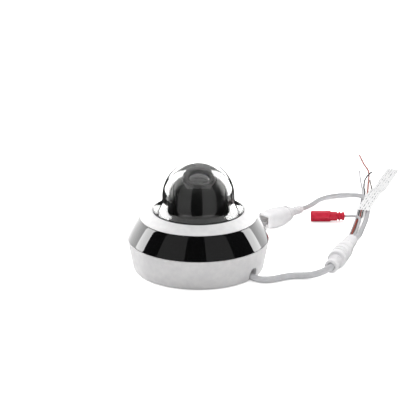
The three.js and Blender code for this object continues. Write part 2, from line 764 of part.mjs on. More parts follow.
function barrelJack() {
  const outer = turned([[0, 0], [4.7, 0], [barrelJackRadius, 0.8], [barrelJackRadius, 19], [4.5, 19.6], [4.5, 26],
    [3.3, 26.3], [3.3, 27.5], [4.4, 27.9], [4.4, 29], [3.3, 29.4], [3.3, 30.6], [4.2, 31],
    [4.0, barrelJackLength], [0, barrelJackLength]], 12);
  return cut(outer, ring(1, 2.75, -1, 10, 10));
}

function cableLabel() {
  const flag = new THREE.Shape();
  flag.moveTo(0, 7.1);
  flag.lineTo(58, 7.1);
  flag.bezierCurveTo(68, 7.1, 72, 1.9, 90, 1.9);
  flag.lineTo(labelLength, 0.5);
  flag.lineTo(labelLength, 0.5 + labelThickness);
  flag.lineTo(90, 1.9 + labelThickness);
  flag.bezierCurveTo(72, 1.9 + labelThickness, 68, 7.1 + labelThickness, 58, 7.1 + labelThickness);
  flag.lineTo(0, 7.1 + labelThickness);
  flag.closePath();
  const strip = extruded(flag, -labelWidth / 2, labelWidth / 2, 5);
  return strip.rotateX(Math.PI / 2).rotateZ(THREE.MathUtils.degToRad(labelHeading)).translate(...labelStart);
}

// ---------- assembly: what stays still ----------
addPiece("base_housing", baseHousing(), whiteShell());
addPiece("ir_window", irWindow(), finish(0x0b0b0d, 0.06));
addPiece("top_ring", topRing(), whiteShell());
addPiece("dome_gasket", ring(collarRadius + 0.4, collarRadius + 4.4, gasketBottom, ringSeat - gap),
  finish(0x202022, 0.9));
addPiece("dome_bubble", dome(), clearPlastic());
addPiece("dome_clamp_ring", clampRing(), blackPlastic());
clampScrewPlaces().forEach(([x, y], i) => {
  const length = windowTop - clampBottom + screwHeadHeight + gap;
  const fastener = addPiece(`dome_screw_${i + 1}`, screw(length), steel());
  fastener.position.set(x, y, clampBottom - gap - screwHeadHeight);
});
addPiece("inner_shroud", innerShroud(), blackPlastic());
addPiece("pan_chassis", chassis(), finish(0x2a2a2c, 0.6));
legAngles.forEach((angle, i) => {
  const length = chassisTop - floorTop - 1.2 + screwHeadHeight + gap;
  const fastener = addPiece(`chassis_screw_${i + 1}`, screw(length), steel());
  fastener.rotation.x = Math.PI;
  fastener.position.set(...polar(legCircle, angle), chassisTop + gap + screwHeadHeight);
});
addPiece("main_board", mainBoard(), circuitBoard());
addPiece("processor_heat_sink", heatSink(), finish(0x9a9da1, 0.4, 1)).position.set(0, 6, boardTop + gap);
addPiece("network_transformer", networkTransformer(), finish(0x1c1c1e, 0.6))
  .position.set(27, 10, boardTop + gap);
addPiece("card_socket", cardSocket(), steel()).position.set(0, -30, boardTop + gap);
addPiece("reset_switch", resetSwitch(), finish(0x2c2c2e, 0.6)).position.set(17, -30, boardTop + gap);
addPiece("ir_board", ring(irBoardInner, irBoardOuter, irBoardHeight, irBoardHeight + irBoardThickness),
  finish(0x14161a, 0.5));
for (let lamp = 0; lamp < ledCount; lamp += 1) {
  const place = polar(ledCircle, 45 + (360 / ledCount) * lamp);
  addPiece(`ir_lamp_${lamp + 1}`, irLamp(), finish(0xcfd3d8, 0.1))
    .position.set(...place, irBoardHeight + irBoardThickness + gap);
}
addPiece("pan_bearing", ring(hubRadius + gap, hubRadius + gap + bearingRing, chassisBottom - 0.4,
  chassisBottom - 0.4 + bearingWidth, 24), steel());
addPiece("pan_motor", shiftedTo(panMotor(), polar(panMotorDistance, panMotorAngle)), steel());
addPiece("cable_gland", laid(drum(glandRadius, glandStart, glandStart + glandLength, 20),
  [0, 0, floorBottom - gap - glandRadius], notchAngle), finish(0x1a1a1c, 0.85));

// ---------- assembly: what pans ----------
addPiece("turntable", turntable(), blackPlastic(), carriage);
addPiece("pan_gear", extruded(gearShape(panGearTeeth, panModule, 24), panGearBottom, panGearTop, 16),
  finish(0xe6e2d6, 0.5), carriage);
addPiece("pan_pinion", shiftedTo(panPinion(), polar(panMotorDistance, panMotorAngle)),
  finish(0xc9a24a, 0.35, 1));
addPiece("left_yoke_arm", leftYokeSide(), blackPlastic(), carriage);
addPiece("right_yoke_arm", yokeSide(1), blackPlastic(), carriage);
addPiece("tilt_gear", alongTiltAxis(tiltGear(), [tiltGearStart, 0, 0]), finish(0xe6e2d6, 0.5), ball);

// ---------- assembly: what tilts ----------
addPiece("ball_front_shell", ballShell(true), blackPlastic(), ball);
addPiece("ball_rear_shell", ballShell(false), blackPlastic(), ball);
addPiece("lens_ring", lensRing(), blackPlastic(), ball);
addPiece("front_lens", frontLens(), finish(0x23262c, 0.04), ball);
addPiece("lens_barrel", lensBarrel(), blackPlastic(), ball);
addPiece("zoom_group", lensGroup(11, 15.5), finish(0x2b2f36, 0.2), ball);
addPiece("focus_group", lensGroup(2, 5.5), finish(0x2b2f36, 0.2), ball);
addPiece("filter_slider", block(18, 9, -3.2, -2.5), finish(0x7c3b52, 0.1), ball);
addPiece("sensor_board", sensorBoard(), circuitBoard(), ball);
addPiece("tilt_motor", alongTiltAxis(tiltMotor(), [tiltGearStart - tiltMotorSetback, 0, -tiltMotorDistance]),
  steel(), ball);
addPiece("tilt_pinion", alongTiltAxis(tiltPinion(), [tiltGearStart, 0, -tiltMotorDistance]),
  finish(0xc9a24a, 0.35, 1), ball);

// ---------- assembly: what is pressed or pulled ----------
addPiece("reset_button", drum(1.3, 2.1, 3.8, 12), finish(0xb03a3a, 0.5)).position.set(17, -30, boardTop + gap);
addPiece("memory_card", memoryCard(), finish(0x18181a, 0.4)).position.set(0, -32.3, boardTop + 3 * gap);

// ---------- assembly: the cable tail ----------
addPiece("main_cable", tube(mainCableRoute, mainCableRadius, 10, 22), whiteJacket());
addPiece("junction_nut", laid(junctionNut(), junctionStart, junctionHeading), whiteShell());
addPiece("junction_body", laid(junctionBody(), junctionStart, junctionHeading), whiteShell());
addPiece("data_lead", tube(dataLeadRoute, dataLeadRadius, 8, 30), whiteJacket());
const bootStart = jackBootEnd.map((value, i) => value - bootLength * [...polar(1, jackHeading), 0][i]);
const jackStart = bootStart.map((value, i) => value - (jackLength + gap) * [...polar(1, jackHeading), 0][i]);
addPiece("data_jack_boot", laid(jackBoot(), bootStart, jackHeading), whiteShell());
addPiece("data_jack", laid(dataJack(), jackStart, jackHeading), whiteShell());
addPiece("power_lead", tube(powerLeadRoute, powerLeadRadius, 8, 22), whiteJacket());
addPiece("power_jack", laid(barrelJack(), barrelJackStart, 0), finish(0xc81f3c, 0.45));
addPiece("cable_label", cableLabel(), finish(0xf4f4f4, 0.6));
addPiece("wire_black", tube(blackWireRoute, wireRadius, 8, 38), finish(0x1c1c1c, 0.5));
addPiece("wire_red", tube(redWireRoute, wireRadius, 8, 44), finish(0xc23a2e, 0.5));
addPiece("wire_grey", tube(greyWireRoute, wireRadius, 8, 34), finish(0x707274, 0.5));
addPiece("wire_white", tube(whiteWireRoute, wireRadius, 8, 36), finish(0xe8e8e8, 0.5));

export default camera;
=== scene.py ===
# Dome security camera on its round base, with the cable tail laid out beside it.
# Metres, +Z up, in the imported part's own frame; the dictionaries hold millimetres.
import json
import math

import bmesh
import bpy
from mathutils import Matrix, Vector


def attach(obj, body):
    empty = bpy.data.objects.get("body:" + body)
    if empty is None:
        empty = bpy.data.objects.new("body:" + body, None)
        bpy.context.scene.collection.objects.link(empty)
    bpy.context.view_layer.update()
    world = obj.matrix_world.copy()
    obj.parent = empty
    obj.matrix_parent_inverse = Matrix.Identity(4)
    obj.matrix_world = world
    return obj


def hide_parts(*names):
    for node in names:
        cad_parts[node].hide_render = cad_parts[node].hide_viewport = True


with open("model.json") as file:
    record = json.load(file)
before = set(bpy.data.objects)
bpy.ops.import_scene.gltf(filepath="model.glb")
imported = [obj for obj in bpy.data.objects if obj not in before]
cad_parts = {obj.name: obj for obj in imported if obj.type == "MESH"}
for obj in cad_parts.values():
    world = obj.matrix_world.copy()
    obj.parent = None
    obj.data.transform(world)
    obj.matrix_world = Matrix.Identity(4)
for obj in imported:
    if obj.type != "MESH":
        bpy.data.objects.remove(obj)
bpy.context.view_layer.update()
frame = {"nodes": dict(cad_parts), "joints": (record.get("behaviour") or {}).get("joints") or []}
mm = 0.001
jointByName = {joint["name"]: joint for joint in frame["joints"]}
ballCentre = Vector(jointByName["tilt"]["pos_m"])
print("frame loaded:", len(frame["nodes"]), "nodes")

# ---------- camera ----------
viewpoint = {"position": (0, -1.3966, 0.5473), "target": (0.00147, 0, 0.0647), "lens": 145.53}


def placeCamera():
    data = bpy.data.cameras.new("viewpoint")
    data.lens = viewpoint["lens"]
    data.sensor_width = 36
    data.clip_end = 20
    obj = bpy.data.objects.new("viewpoint", data)
    obj.location = viewpoint["position"]
    direction = Vector(viewpoint["target"]) - obj.location
    obj.rotation_euler = direction.to_track_quat("-Z", "Y").to_euler()
    bpy.context.scene.collection.objects.link(obj)
    bpy.context.scene.camera = obj


placeCamera()
bpy.context.scene.view_settings.view_transform = "Standard"
print("camera placed")


# ---------- materials ----------
def linear(hexColour, alpha=1.0):
    channels = [int(hexColour[i:i + 2], 16) / 255 for i in (1, 3, 5)]
    return [c / 12.92 if c <= 0.04045 else ((c + 0.055) / 1.055) ** 2.4 for c in channels] + [alpha]


def perMetre(sizeMm):
    return 1000 / sizeMm          # texture scale that makes one grain this many millimetres


def addNode(tree, kind, values=None, links=None, **settings):
    node = tree.nodes.new("ShaderNode" + kind)
    for name, value in settings.items():
        setattr(node, name, value)
    for socket, value in (values or {}).items():
        node.inputs[socket].default_value = value
    for socket, source in (links or {}).items():
        tree.links.new(source, node.inputs[socket])
    return node


def newMaterial(name, **sockets):
    material = bpy.data.materials.new(name)
    material.use_nodes = True
    tree = material.node_tree
    shader = tree.nodes["Principled BSDF"]
    for socket, value in sockets.items():
        shader.inputs[socket.replace("_", " ")].default_value = value
    where = addNode(tree, "TexCoord").outputs["Object"]
    return material, tree, shader, where


# Two close colours mottled together, roughness that drifts, and a fine grain in relief.
def surface(name, colours, mottle, roughness, drift, grain, relief, stretch=(1, 1, 1), **sockets):
    material, tree, shader, where = newMaterial(name, **sockets)
    place = addNode(tree, "Mapping", {"Scale": stretch}, {"Vector": where}).outputs["Vector"]
    blotch = addNode(tree, "TexNoise", {"Scale": perMetre(mottle), "Detail": 4}, {"Vector": place})
    blend = addNode(tree, "ValToRGB", None, {"Fac": blotch.outputs["Fac"]})
    blend.color_ramp.elements[0].position = 0.35
    blend.color_ramp.elements[1].position = 0.65
    blend.color_ramp.elements[0].color = linear(colours[0])
    blend.color_ramp.elements[1].color = linear(colours[1])
    tree.links.new(blend.outputs["Color"], shader.inputs["Base Color"])
    cloud = addNode(tree, "TexNoise", {"Scale": perMetre(drift), "Detail": 3}, {"Vector": place})
    spread = addNode(tree, "MapRange", {"To Min": roughness[0], "To Max": roughness[1]},
                     {"Value": cloud.outputs["Fac"]})
    tree.links.new(spread.outputs["Result"], shader.inputs["Roughness"])
    fine = addNode(tree, "TexNoise", {"Scale": perMetre(grain), "Detail": 2}, {"Vector": place})
    bump = addNode(tree, "Bump", {"Strength": relief, "Distance": 0.05 * mm},
                   {"Height": fine.outputs["Fac"]})
    tree.links.new(bump.outputs["Normal"], shader.inputs["Normal"])
    return material


# Polyester powder coat on die-cast aluminium: soft satin, with a fine orange peel.
# Its real grain is about 0.3 mm, drawn at 0.9 mm so that it shows.
powderCoat = surface("powder_coat", ("#E6E5E6", "#EEEDED"), 6, (0.42, 0.55), 9, 0.9, 0.35,
                     Specular_IOR_Level=0.4)
# Dyed polycarbonate that passes infrared: black with a mirror polish and faint handling haze.
blackPolycarbonate = surface("infrared_polycarbonate", ("#070708", "#0A0A0B"), 20, (0.015, 0.05), 14, 12,
                             0.02, IOR=1.585)
# Injection-moulded ABS from a fine-stoned tool: black, with broad soft highlights.
satinAbs = surface("satin_abs", ("#060607", "#0A0A0B"), 8, (0.34, 0.42), 5, 1.6, 0.12, IOR=1.54,
                   Specular_IOR_Level=0.35)
# ABS from a spark-eroded tool: black and matt, with a sandy grain.
mattAbs = surface("matt_abs", ("#101012", "#17171A"), 5, (0.5, 0.62), 6, 0.8, 0.35, IOR=1.54)
# Silicone rubber: soft, dark and without shine.
siliconeRubber = surface("silicone_rubber", ("#151516", "#1D1D1F"), 3, (0.78, 0.9), 4, 0.6, 0.25, IOR=1.41)
# Black epoxy of chips and moulded parts on the board.
epoxyResin = surface("epoxy_resin", ("#17171A", "#202024"), 2, (0.5, 0.65), 3, 0.3, 0.3)
# Extruded aluminium, drawn along its fins: fine lines that follow the extrusion.
extrudedAluminium = surface("extruded_aluminium", ("#A9ABAE", "#B8BABD"), 1.2, (0.28, 0.42), 2, 0.3, 0.3,
                            stretch=(1, 0.05, 1), Metallic=1.0)
# Nickel-plated pressed steel: grey and even, with faint rolling marks.
nickelSteel = surface("nickel_plated_steel", ("#B4B3B0", "#C1C0BD"), 2, (0.22, 0.36), 3, 0.4, 0.2,
                      stretch=(0.1, 1, 1), Metallic=1.0)
# Acetal of the gears: waxy cream that lets a little light in.
acetal = surface("acetal", ("#E2DDCF", "#EAE6DA"), 4, (0.34, 0.44), 5, 1.2, 0.12, Subsurface_Weight=0.1,
                 Subsurface_Scale=0.002)
# Moulded PVC of the plugs and the splice: soft white with a low sheen.
whiteMoulding = surface("white_moulding", ("#EFEEF0", "#F6F5F6"), 6, (0.38, 0.5), 5, 0.9, 0.2, IOR=1.53)
# Red moulded PVC of the power plug: a deep pinkish red with a low gloss.
redPvc = surface("red_pvc", ("#CB1C38", "#D62743"), 4, (0.3, 0.42), 4, 0.8, 0.2, IOR=1.53,
                 Subsurface_Weight=0.06, Subsurface_Scale=0.002)
# Thin wire insulation, extruded PVC.
blackInsulation = surface("black_pvc", ("#16171A", "#23252A"), 3, (0.35, 0.45), 3, 0.5, 0.15, IOR=1.53)
redInsulation = surface("red_brown_pvc", ("#B4452F", "#C9553A"), 3, (0.35, 0.45), 3, 0.5, 0.15, IOR=1.53)
greyInsulation = surface("grey_pvc", ("#77706C", "#8A837E"), 3, (0.35, 0.45), 3, 0.5, 0.15, IOR=1.53)
# Tinned copper strands at the bare ends.
tinnedCopper = surface("tinned_copper", ("#B9B4AC", "#C9C2B6"), 0.6, (0.28, 0.4), 1, 0.3, 0.5, Metallic=1.0)
# Gold flash on the socket contacts.
goldPlate = surface("gold_plate", ("#D8AE4C", "#E2BD62"), 1, (0.18, 0.28), 2, 0.4, 0.1, Metallic=1.0)


# Extruded PVC cable jacket: white, with faint rings from the extruder along its length.
def cableJacket():
    material, tree, shader, where = newMaterial("pvc_jacket", IOR=1.53)
    scuff = addNode(tree, "TexNoise", {"Scale": perMetre(5), "Detail": 5}, {"Vector": where})
    blend = addNode(tree, "ValToRGB", None, {"Fac": scuff.outputs["Fac"]})
    blend.color_ramp.elements[0].position = 0.3
    blend.color_ramp.elements[1].position = 0.7
    blend.color_ramp.elements[0].color = linear("#DCDCDF")
    blend.color_ramp.elements[1].color = linear("#E7E7E9")
    tree.links.new(blend.outputs["Color"], shader.inputs["Base Color"])
    haze = addNode(tree, "MapRange", {"To Min": 0.36, "To Max": 0.5}, {"Value": scuff.outputs["Fac"]})
    tree.links.new(haze.outputs["Result"], shader.inputs["Roughness"])
    ripple = addNode(tree, "TexNoise", {"Scale": perMetre(2.5), "Detail": 1}, {"Vector": where})
    bump = addNode(tree, "Bump", {"Strength": 0.3, "Distance": 0.1 * mm}, {"Height": ripple.outputs["Fac"]})
    tree.links.new(bump.outputs["Normal"], shader.inputs["Normal"])
    return material


# Hard-coated polycarbonate of the bubble: clear, a trace of warm grey, with a very slow ripple.
def clearPolycarbonate():
    material, tree, shader, where = newMaterial(
        "clear_polycarbonate", Base_Color=linear("#FBFBFA"), Transmission_Weight=1.0, IOR=1.585)
    smear = addNode(tree, "TexNoise", {"Scale": perMetre(18), "Detail": 2}, {"Vector": where})
    haze = addNode(tree, "MapRange", {"From Min": 0.45, "From Max": 0.8, "To Min": 0.0, "To Max": 0.02},
                   {"Value": smear.outputs["Fac"]})
    tree.links.new(haze.outputs["Result"], shader.inputs["Roughness"])
    return material


# Anti-reflection coated glass of the front lens: near black, with a painted violet sheen at the rim, where
# the base colour turns from the glass's own dark tone to a reflection tint as the surface turns edge-on to
# the view.
def coatedGlass(name, deep, paintedRimSheen):
    material, tree, shader, where = newMaterial(name, IOR=1.62, Coat_Weight=0.4, Coat_Roughness=0.02)
    # Painted sheen: the facing weight blends the base colour towards a reflection tint wherever the surface
    # turns away from the view.
    rim = addNode(tree, "LayerWeight", {"Blend": 0.35})
    blend = addNode(tree, "ValToRGB", None, {"Fac": rim.outputs["Facing"]})
    blend.color_ramp.elements[0].color = linear(deep)
    blend.color_ramp.elements[1].color = linear(paintedRimSheen)
    tree.links.new(blend.outputs["Color"], shader.inputs["Base Color"])
    dust = addNode(tree, "TexNoise", {"Scale": perMetre(3), "Detail": 3}, {"Vector": where})
    haze = addNode(tree, "MapRange", {"To Min": 0.03, "To Max": 0.09}, {"Value": dust.outputs["Fac"]})
    tree.links.new(haze.outputs["Result"], shader.inputs["Roughness"])
    return material


# Clear epoxy of the infrared lamps: water-clear with a smoky chip inside.
def lampEpoxy():
    material, tree, shader, where = newMaterial(
        "lamp_epoxy", Base_Color=linear("#DDE2E8"), Transmission_Weight=0.85, IOR=1.53)
    swirl = addNode(tree, "TexNoise", {"Scale": perMetre(1.5), "Detail": 2}, {"Vector": where})
    haze = addNode(tree, "MapRange", {"To Min": 0.03, "To Max": 0.12}, {"Value": swirl.outputs["Fac"]})
    tree.links.new(haze.outputs["Result"], shader.inputs["Roughness"])
    return material


# Glass-epoxy circuit board: solder mask over copper tracks 0.4 mm apart and rows of tinned pads.
def circuitBoard():
    material, tree, shader, where = newMaterial("solder_mask", IOR=1.5, Coat_Weight=0.3,
                                                Coat_Roughness=0.15)
    tracks = addNode(tree, "TexBrick", {
        "Scale": perMetre(4), "Color1": linear("#1B5A36"), "Color2": linear("#1F6A40"),
        "Mortar": linear("#2F8452"), "Mortar Size": 0.035, "Mortar Smooth": 0.2}, {"Vector": where})
    pads = addNode(tree, "TexVoronoi", {"Scale": perMetre(2.6)}, {"Vector": where})
    isPad = addNode(tree, "Math", {1: 0.16}, {0: pads.outputs["Distance"]}, operation="LESS_THAN")
    blend = addNode(tree, "Mix", {7: linear("#C7C9C6")},
                    {"Factor": isPad.outputs[0], 6: tracks.outputs["Color"]}, data_type="RGBA")
    tree.links.new(blend.outputs[2], shader.inputs["Base Color"])
    tree.links.new(isPad.outputs[0], shader.inputs["Metallic"])
    haze = addNode(tree, "MapRange", {"To Min": 0.4, "To Max": 0.28}, {"Value": tracks.outputs["Fac"]})
    tree.links.new(haze.outputs["Result"], shader.inputs["Roughness"])
    bump = addNode(tree, "Bump", {"Strength": 0.3, "Distance": 0.04 * mm},
                   {"Height": tracks.outputs["Fac"]})
    tree.links.new(bump.outputs["Normal"], shader.inputs["Normal"])
    return material


# Polyester label film: white and satin, with short grey bars where print would be.
def labelFilm(heading):
    material, tree, shader, where = newMaterial("polyester_film", IOR=1.5)
    turned = addNode(tree, "Mapping", {"Rotation": (0, 0, -heading)}, {"Vector": where}).outputs["Vector"]
    # Thin bars in rows 2.6 mm apart, with gaps of uneven length along each row.
    rows = addNode(tree, "TexWave", {"Scale": perMetre(2.6) * math.pi / 10}, {"Vector": turned},
                   bands_direction="Y")
    words = addNode(tree, "TexNoise", {"Scale": perMetre(3.2), "Detail": 1}, {
        "Vector": addNode(tree, "Mapping", {"Scale": (1, 2.2, 1)}, {"Vector": turned}).outputs["Vector"]})
    onRow = addNode(tree, "Math", {1: 0.72}, {0: rows.outputs["Fac"]}, operation="GREATER_THAN")
    inWord = addNode(tree, "Math", {1: 0.54}, {0: words.outputs["Fac"]}, operation="GREATER_THAN")
    ink = addNode(tree, "Math", None, {0: onRow.outputs[0], 1: inWord.outputs[0]}, operation="MULTIPLY")
    blend = addNode(tree, "Mix", {6: linear("#F4F4F4"), 7: linear("#8E8E92")},
                    {"Factor": ink.outputs[0]}, data_type="RGBA")
    tree.links.new(blend.outputs[2], shader.inputs["Base Color"])
    haze = addNode(tree, "MapRange", {"To Min": 0.3, "To Max": 0.42}, {"Value": words.outputs["Fac"]})
    tree.links.new(haze.outputs["Result"], shader.inputs["Roughness"])
    return material


jacketPvc = cableJacket()
bubblePolycarbonate = clearPolycarbonate()
lensGlass = coatedGlass("coated_lens_glass", "#050507", "#1C1830")
# The infrared-cut filter gets the same painted sheen, a pink reflection tint towards its rim.
filterGlass = coatedGlass("infrared_cut_filter", "#5A1E38", "#8A4660")
lampResin = lampEpoxy()
solderMask = circuitBoard()
film = labelFilm(math.radians(72.5))
print("materials ready")


# ---------- mesh helpers ----------
# Rounds each corner of a profile with a small curve; points on the axis stay sharp.
def softened(profile, radius, steps=3):
    points = [Vector(p) for p in profile]
    count = len(points)
    onAxis = points[0].x == 0 and points[-1].x == 0
    result = []
    for i, corner in enumerate(points):
        if onAxis and i in (0, count - 1):
            result.append(corner)
            continue
        before = points[i - 1] - corner
        after = points[(i + 1) % count] - corner
        if corner.x == 0 or before.angle(after, math.pi) > math.radians(172):
            result.append(corner)
            continue
        reach = min(radius, 0.45 * before.length, 0.45 * after.length)
        start = corner + before.normalized() * reach
        end = corner + after.normalized() * reach
        for k in range(steps + 1):
            t = k / steps
            result.append(start * (1 - t) ** 2 + corner * 2 * t * (1 - t) + end * t ** 2)
    return [(p.x, p.y) for p in result]


def toObject(name, form, place=None):
    bmesh.ops.recalc_face_normals(form, faces=form.faces)
    mesh = bpy.data.meshes.new(name)
    form.to_mesh(mesh)
    form.free()
    if place is not None:
        mesh.transform(place)
    obj = bpy.data.objects.new(name, mesh)
    bpy.context.scene.collection.objects.link(obj)
    return obj


# A profile of (radius, height) in mm turned about Z.
def lathed(name, profile, segments=96, place=None):
    form = bmesh.new()
    onAxis = profile[0][0] == 0 and profile[-1][0] == 0
    rings = []
    for radius, height in profile:
        if radius < 1e-6:
            rings.append([form.verts.new((0, 0, height * mm))] * segments)
            continue
        rings.append([form.verts.new((radius * mm * math.cos(a), radius * mm * math.sin(a), height * mm))
                      for a in (2 * math.pi * k / segments for k in range(segments))])
    pairs = list(zip(rings, rings[1:])) + ([] if onAxis else [(rings[-1], rings[0])])
    for lower, upper in pairs:
        for k in range(segments):
            n = (k + 1) % segments
            corners = []
            for vertex in (lower[k], lower[n], upper[n], upper[k]):
                if vertex not in corners:
                    corners.append(vertex)
            if len(corners) > 2:
                form.faces.new(corners)
    return toObject(name, form, place)


def rod(radius, bottom, top):
    return [(0, bottom), (radius, bottom), (radius, top), (0, top)]


# Outlines in mm, all with the same number of points, joined in order and closed at both ends.
def lofted(name, sections, place=None):
    form = bmesh.new()
    rings = [[form.verts.new(Vector(p) * mm) for p in section] for section in sections]
    count = len(rings[0])
    for lower, upper in zip(rings, rings[1:]):
        for k in range(count):
            n = (k + 1) % count
            form.faces.new((lower[k], lower[n], upper[n], upper[k]))
    form.faces.new(rings[0][::-1])
    form.faces.new(rings[-1])
    return toObject(name, form, place)


def roundedOutline(width, height, corner, z, steps=6, lift=0):
    points = []
    for quarter, (sx, sy) in enumerate(((1, 1), (-1, 1), (-1, -1), (1, -1))):
        for k in range(steps + 1):
            angle = math.pi / 2 * (quarter + k / steps)
            points.append((sx * (width / 2 - corner) + corner * math.cos(angle),
                           sy * (height / 2 - corner) + corner * math.sin(angle) + lift, z))
    return points


# A rounded bar along Z whose two ends are rounded too.
def roundedBar(name, width, height, corner, start, end, edge, place=None, steps=3):
    stations = []
    for side, z in ((0, start), (1, end)):
        inward = 1 if side == 0 else -1
        arc = [math.pi / 2 * k / steps for k in range(steps + 1)]
        for angle in (arc if side == 0 else arc[::-1]):
            inset = edge * (1 - math.sin(angle))
            depth = edge * (1 - math.cos(angle))
            stations.append(roundedOutline(width - 2 * inset, height - 2 * inset, max(corner - inset, 0.1),
                                           z + inward * depth))
    return lofted(name, stations, place)


def combined(target, tool, operation="DIFFERENCE"):
    modifier = target.modifiers.new("combine", "BOOLEAN")
    modifier.operation = operation
    modifier.solver = "EXACT"
    modifier.object = tool
    return applied(target, [tool])


def applied(target, spent=()):
    graph = bpy.context.evaluated_depsgraph_get()
    mesh = bpy.data.meshes.new_from_object(target.evaluated_get(graph))
    target.modifiers.clear()
    target.data = mesh
    for obj in spent:
        bpy.data.objects.remove(obj)
    return target


def bevelled(target, width, segments=3, angle=40):
    modifier = target.modifiers.new("edges", "BEVEL")
    modifier.width = width * mm
    modifier.segments = segments
    modifier.limit_method = "ANGLE"
    modifier.angle_limit = math.radians(angle)
    return applied(target)


def settle(obj, material, body, slotName, *replaced, crease=38):
    obj.data.materials.clear()
    obj.data.materials.append(material)
    if obj.type == "MESH":
        obj.data.shade_smooth()
        obj.data.set_sharp_from_angle(angle=math.radians(crease))
    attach(obj, body)
    if replaced:
        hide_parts(*replaced)
    return obj


def around(angle, radius=0.0, height=0.0):
    turn = math.radians(angle)
    return (Matrix.Translation((radius * mm * math.cos(turn), radius * mm * math.sin(turn), height * mm))
            @ Matrix.Rotation(turn, 4, "Z"))


# Lays a piece built along +Z on a level heading, with its +Y up.
def laid(start, heading):
    turn = math.radians(heading)
    along = Vector((math.cos(turn), math.sin(turn), 0))
    up = Vector((0, 0, 1))
    across = up.cross(along)
    return Matrix.Translation(Vector(start) * mm) @ Matrix((across, up, along)).transposed().to_4x4()


outOfBoxes = []            # pieces that the wide side lights leave out
whiteMouldings = []        # plugs, splice and label, which get a light of their own


# ---------- cords ----------
cableTail = {
    "junctionStart": (120.6, -24.8, 8.75),
    "junctionHeading": 70.23,
    "junctionLength": 74.81,
    "junctionRadius": 8.7,
    "nutLength": 18.3,
    "jackBootEnd": (103.2, 133.7, 9),
    "jackHeading": 42,
    "bootLength": 22,
    "jackLength": 30,
    "jackWidth": 20,
    "jackHeight": 17.6,
    "powerJackStart": (112.1, 121.9, 5.5),
    "bareTip": 5,
}
routes = {
    "main_cable": [
        (34.5, -25.1, 4.2), (41, -29.8, 3.9), (46.5, -33.8, 3.5), (50.5, -37.4, 3.25), (54.6, -40.4, 3.2),
        (59.5, -41.9, 3.2), (65.5, -41.2, 3.2), (72, -38.2, 3.2), (79, -34.5, 3.2), (86, -32.2, 3.2),
        (92.5, -32, 3.25), (99, -32.6, 3.7), (105.5, -32.9, 4.9), (111.5, -32.1, 6.6), (116.4, -29.7, 8.1),
        (119.6, -26.3, 8.7), (121.9, -21.4, 8.75)],
    "data_lead": [
        (148.7, 44.9, 8.75), (151.2, 52, 8.4), (155.4, 67, 5.6), (160.4, 91.8, 2.8), (166.9, 119.2, 2.5),
        (171, 143, 2.5), (173.8, 162, 2.9), (173.6, 176, 4.3), (168.4, 187, 4.5), (159.2, 192.5, 3.4),
        (147.1, 194.5, 2.6), (136.4, 189.7, 2.8), (125.1, 177, 4), (117.4, 158.5, 6.2), (111.6, 144.4, 8.2),
        (107.2, 137.6, 8.9), (103.45, 133.95, 9)],
    "power_lead": [
        (144.8, 46.3, 10.2), (147.2, 54, 9.2), (150.2, 67, 6), (154, 86, 2), (157.6, 102, 2.5),
        (159.6, 110, 4.2), (160, 117, 5.1), (157.6, 121.8, 5.3), (152.6, 123, 5.4), (148.6, 122.2, 5.5),
        (145.85, 121.9, 5.5)],
    "wire_white": [
        (142.2, 47.2, 9.6), (143.6, 54, 8.4), (145.6, 68, 5), (149, 86, 2.5), (153, 103, 2.5),
        (156.2, 118, 2.4), (158.6, 131, 1.1), (161.2, 147, 1), (164.6, 163, 1), (168, 180, 1),
        (170.4, 197, 1), (172.6, 212, 1), (173.4, 235.5, 1), (174.6, 262, 1), (176.2, 285.3, 1)],
    "wire_black": [
        (141.9, 47.4, 7.9), (143.6, 54, 6.8), (146, 68, 3.4), (149.8, 86, 1), (153.8, 103, 1),
        (157, 118, 1), (160.2, 131, 1), (162.9, 147, 1), (166.3, 163, 1), (169.8, 180, 1),
        (172.5, 197, 1), (174.6, 209, 1), (175.4, 227, 1), (179, 249, 2.4), (184.4, 264.4, 2.7),
        (190.1, 280, 1)],
    "wire_red": [
        (143.6, 46.8, 7.9), (145.2, 54, 6.8), (147.6, 68, 4.4), (150.7, 86, 2.5), (154.7, 103, 2.5),
        (157.9, 118, 2.4), (161.9, 131, 1.1), (164.6, 147, 1), (168, 163, 1), (171.8, 180, 1),
        (175.2, 197, 1), (177.4, 209.1, 1), (180.6, 233.8, 1), (184.2, 262, 1), (185.5, 283.5, 1),
        (183.2, 304.9, 1), (180.9, 345.3, 1)],
    "wire_grey": [
        (144.8, 46.3, 6.5), (146.6, 54, 5.2), (148.8, 68, 2.2), (151.5, 86, 1), (155.5, 103, 1),
        (158.7, 118, 1), (163.6, 131, 1), (166.4, 147, 1), (169.8, 163, 1), (174.6, 180, 1),
        (179, 197, 1), (182.4, 212, 1), (183.2, 228, 1.4), (183.2, 240, 2.6), (184.6, 250.7, 2.4)],
}


# Points on a centripetal Catmull-Rom curve through a route, in metres.
def smoothed(route, perSpan=6):
    points = [Vector(p) * mm for p in route]
    points = [points[0] * 2 - points[1]] + points + [points[-1] * 2 - points[-2]]
    result = []
    for a, b, c, d in zip(points, points[1:], points[2:], points[3:]):
        t0 = 0
        t1 = t0 + (b - a).length ** 0.5
        t2 = t1 + (c - b).length ** 0.5
        t3 = t2 + (d - c).length ** 0.5
        for k in range(perSpan):
            t = t1 + (t2 - t1) * k / perSpan
            ab = a * ((t1 - t) / (t1 - t0)) + b * ((t - t0) / (t1 - t0))
            bc = b * ((t2 - t) / (t2 - t1)) + c * ((t - t1) / (t2 - t1))
            cd = c * ((t3 - t) / (t3 - t2)) + d * ((t - t2) / (t3 - t2))
            abc = ab * ((t2 - t) / (t2 - t0)) + bc * ((t - t0) / (t2 - t0))
            bcd = bc * ((t3 - t) / (t3 - t1)) + cd * ((t - t1) / (t3 - t1))
            result.append(abc * ((t2 - t) / (t2 - t1)) + bcd * ((t - t1) / (t2 - t1)))
    return evenly(result + [points[-2]])


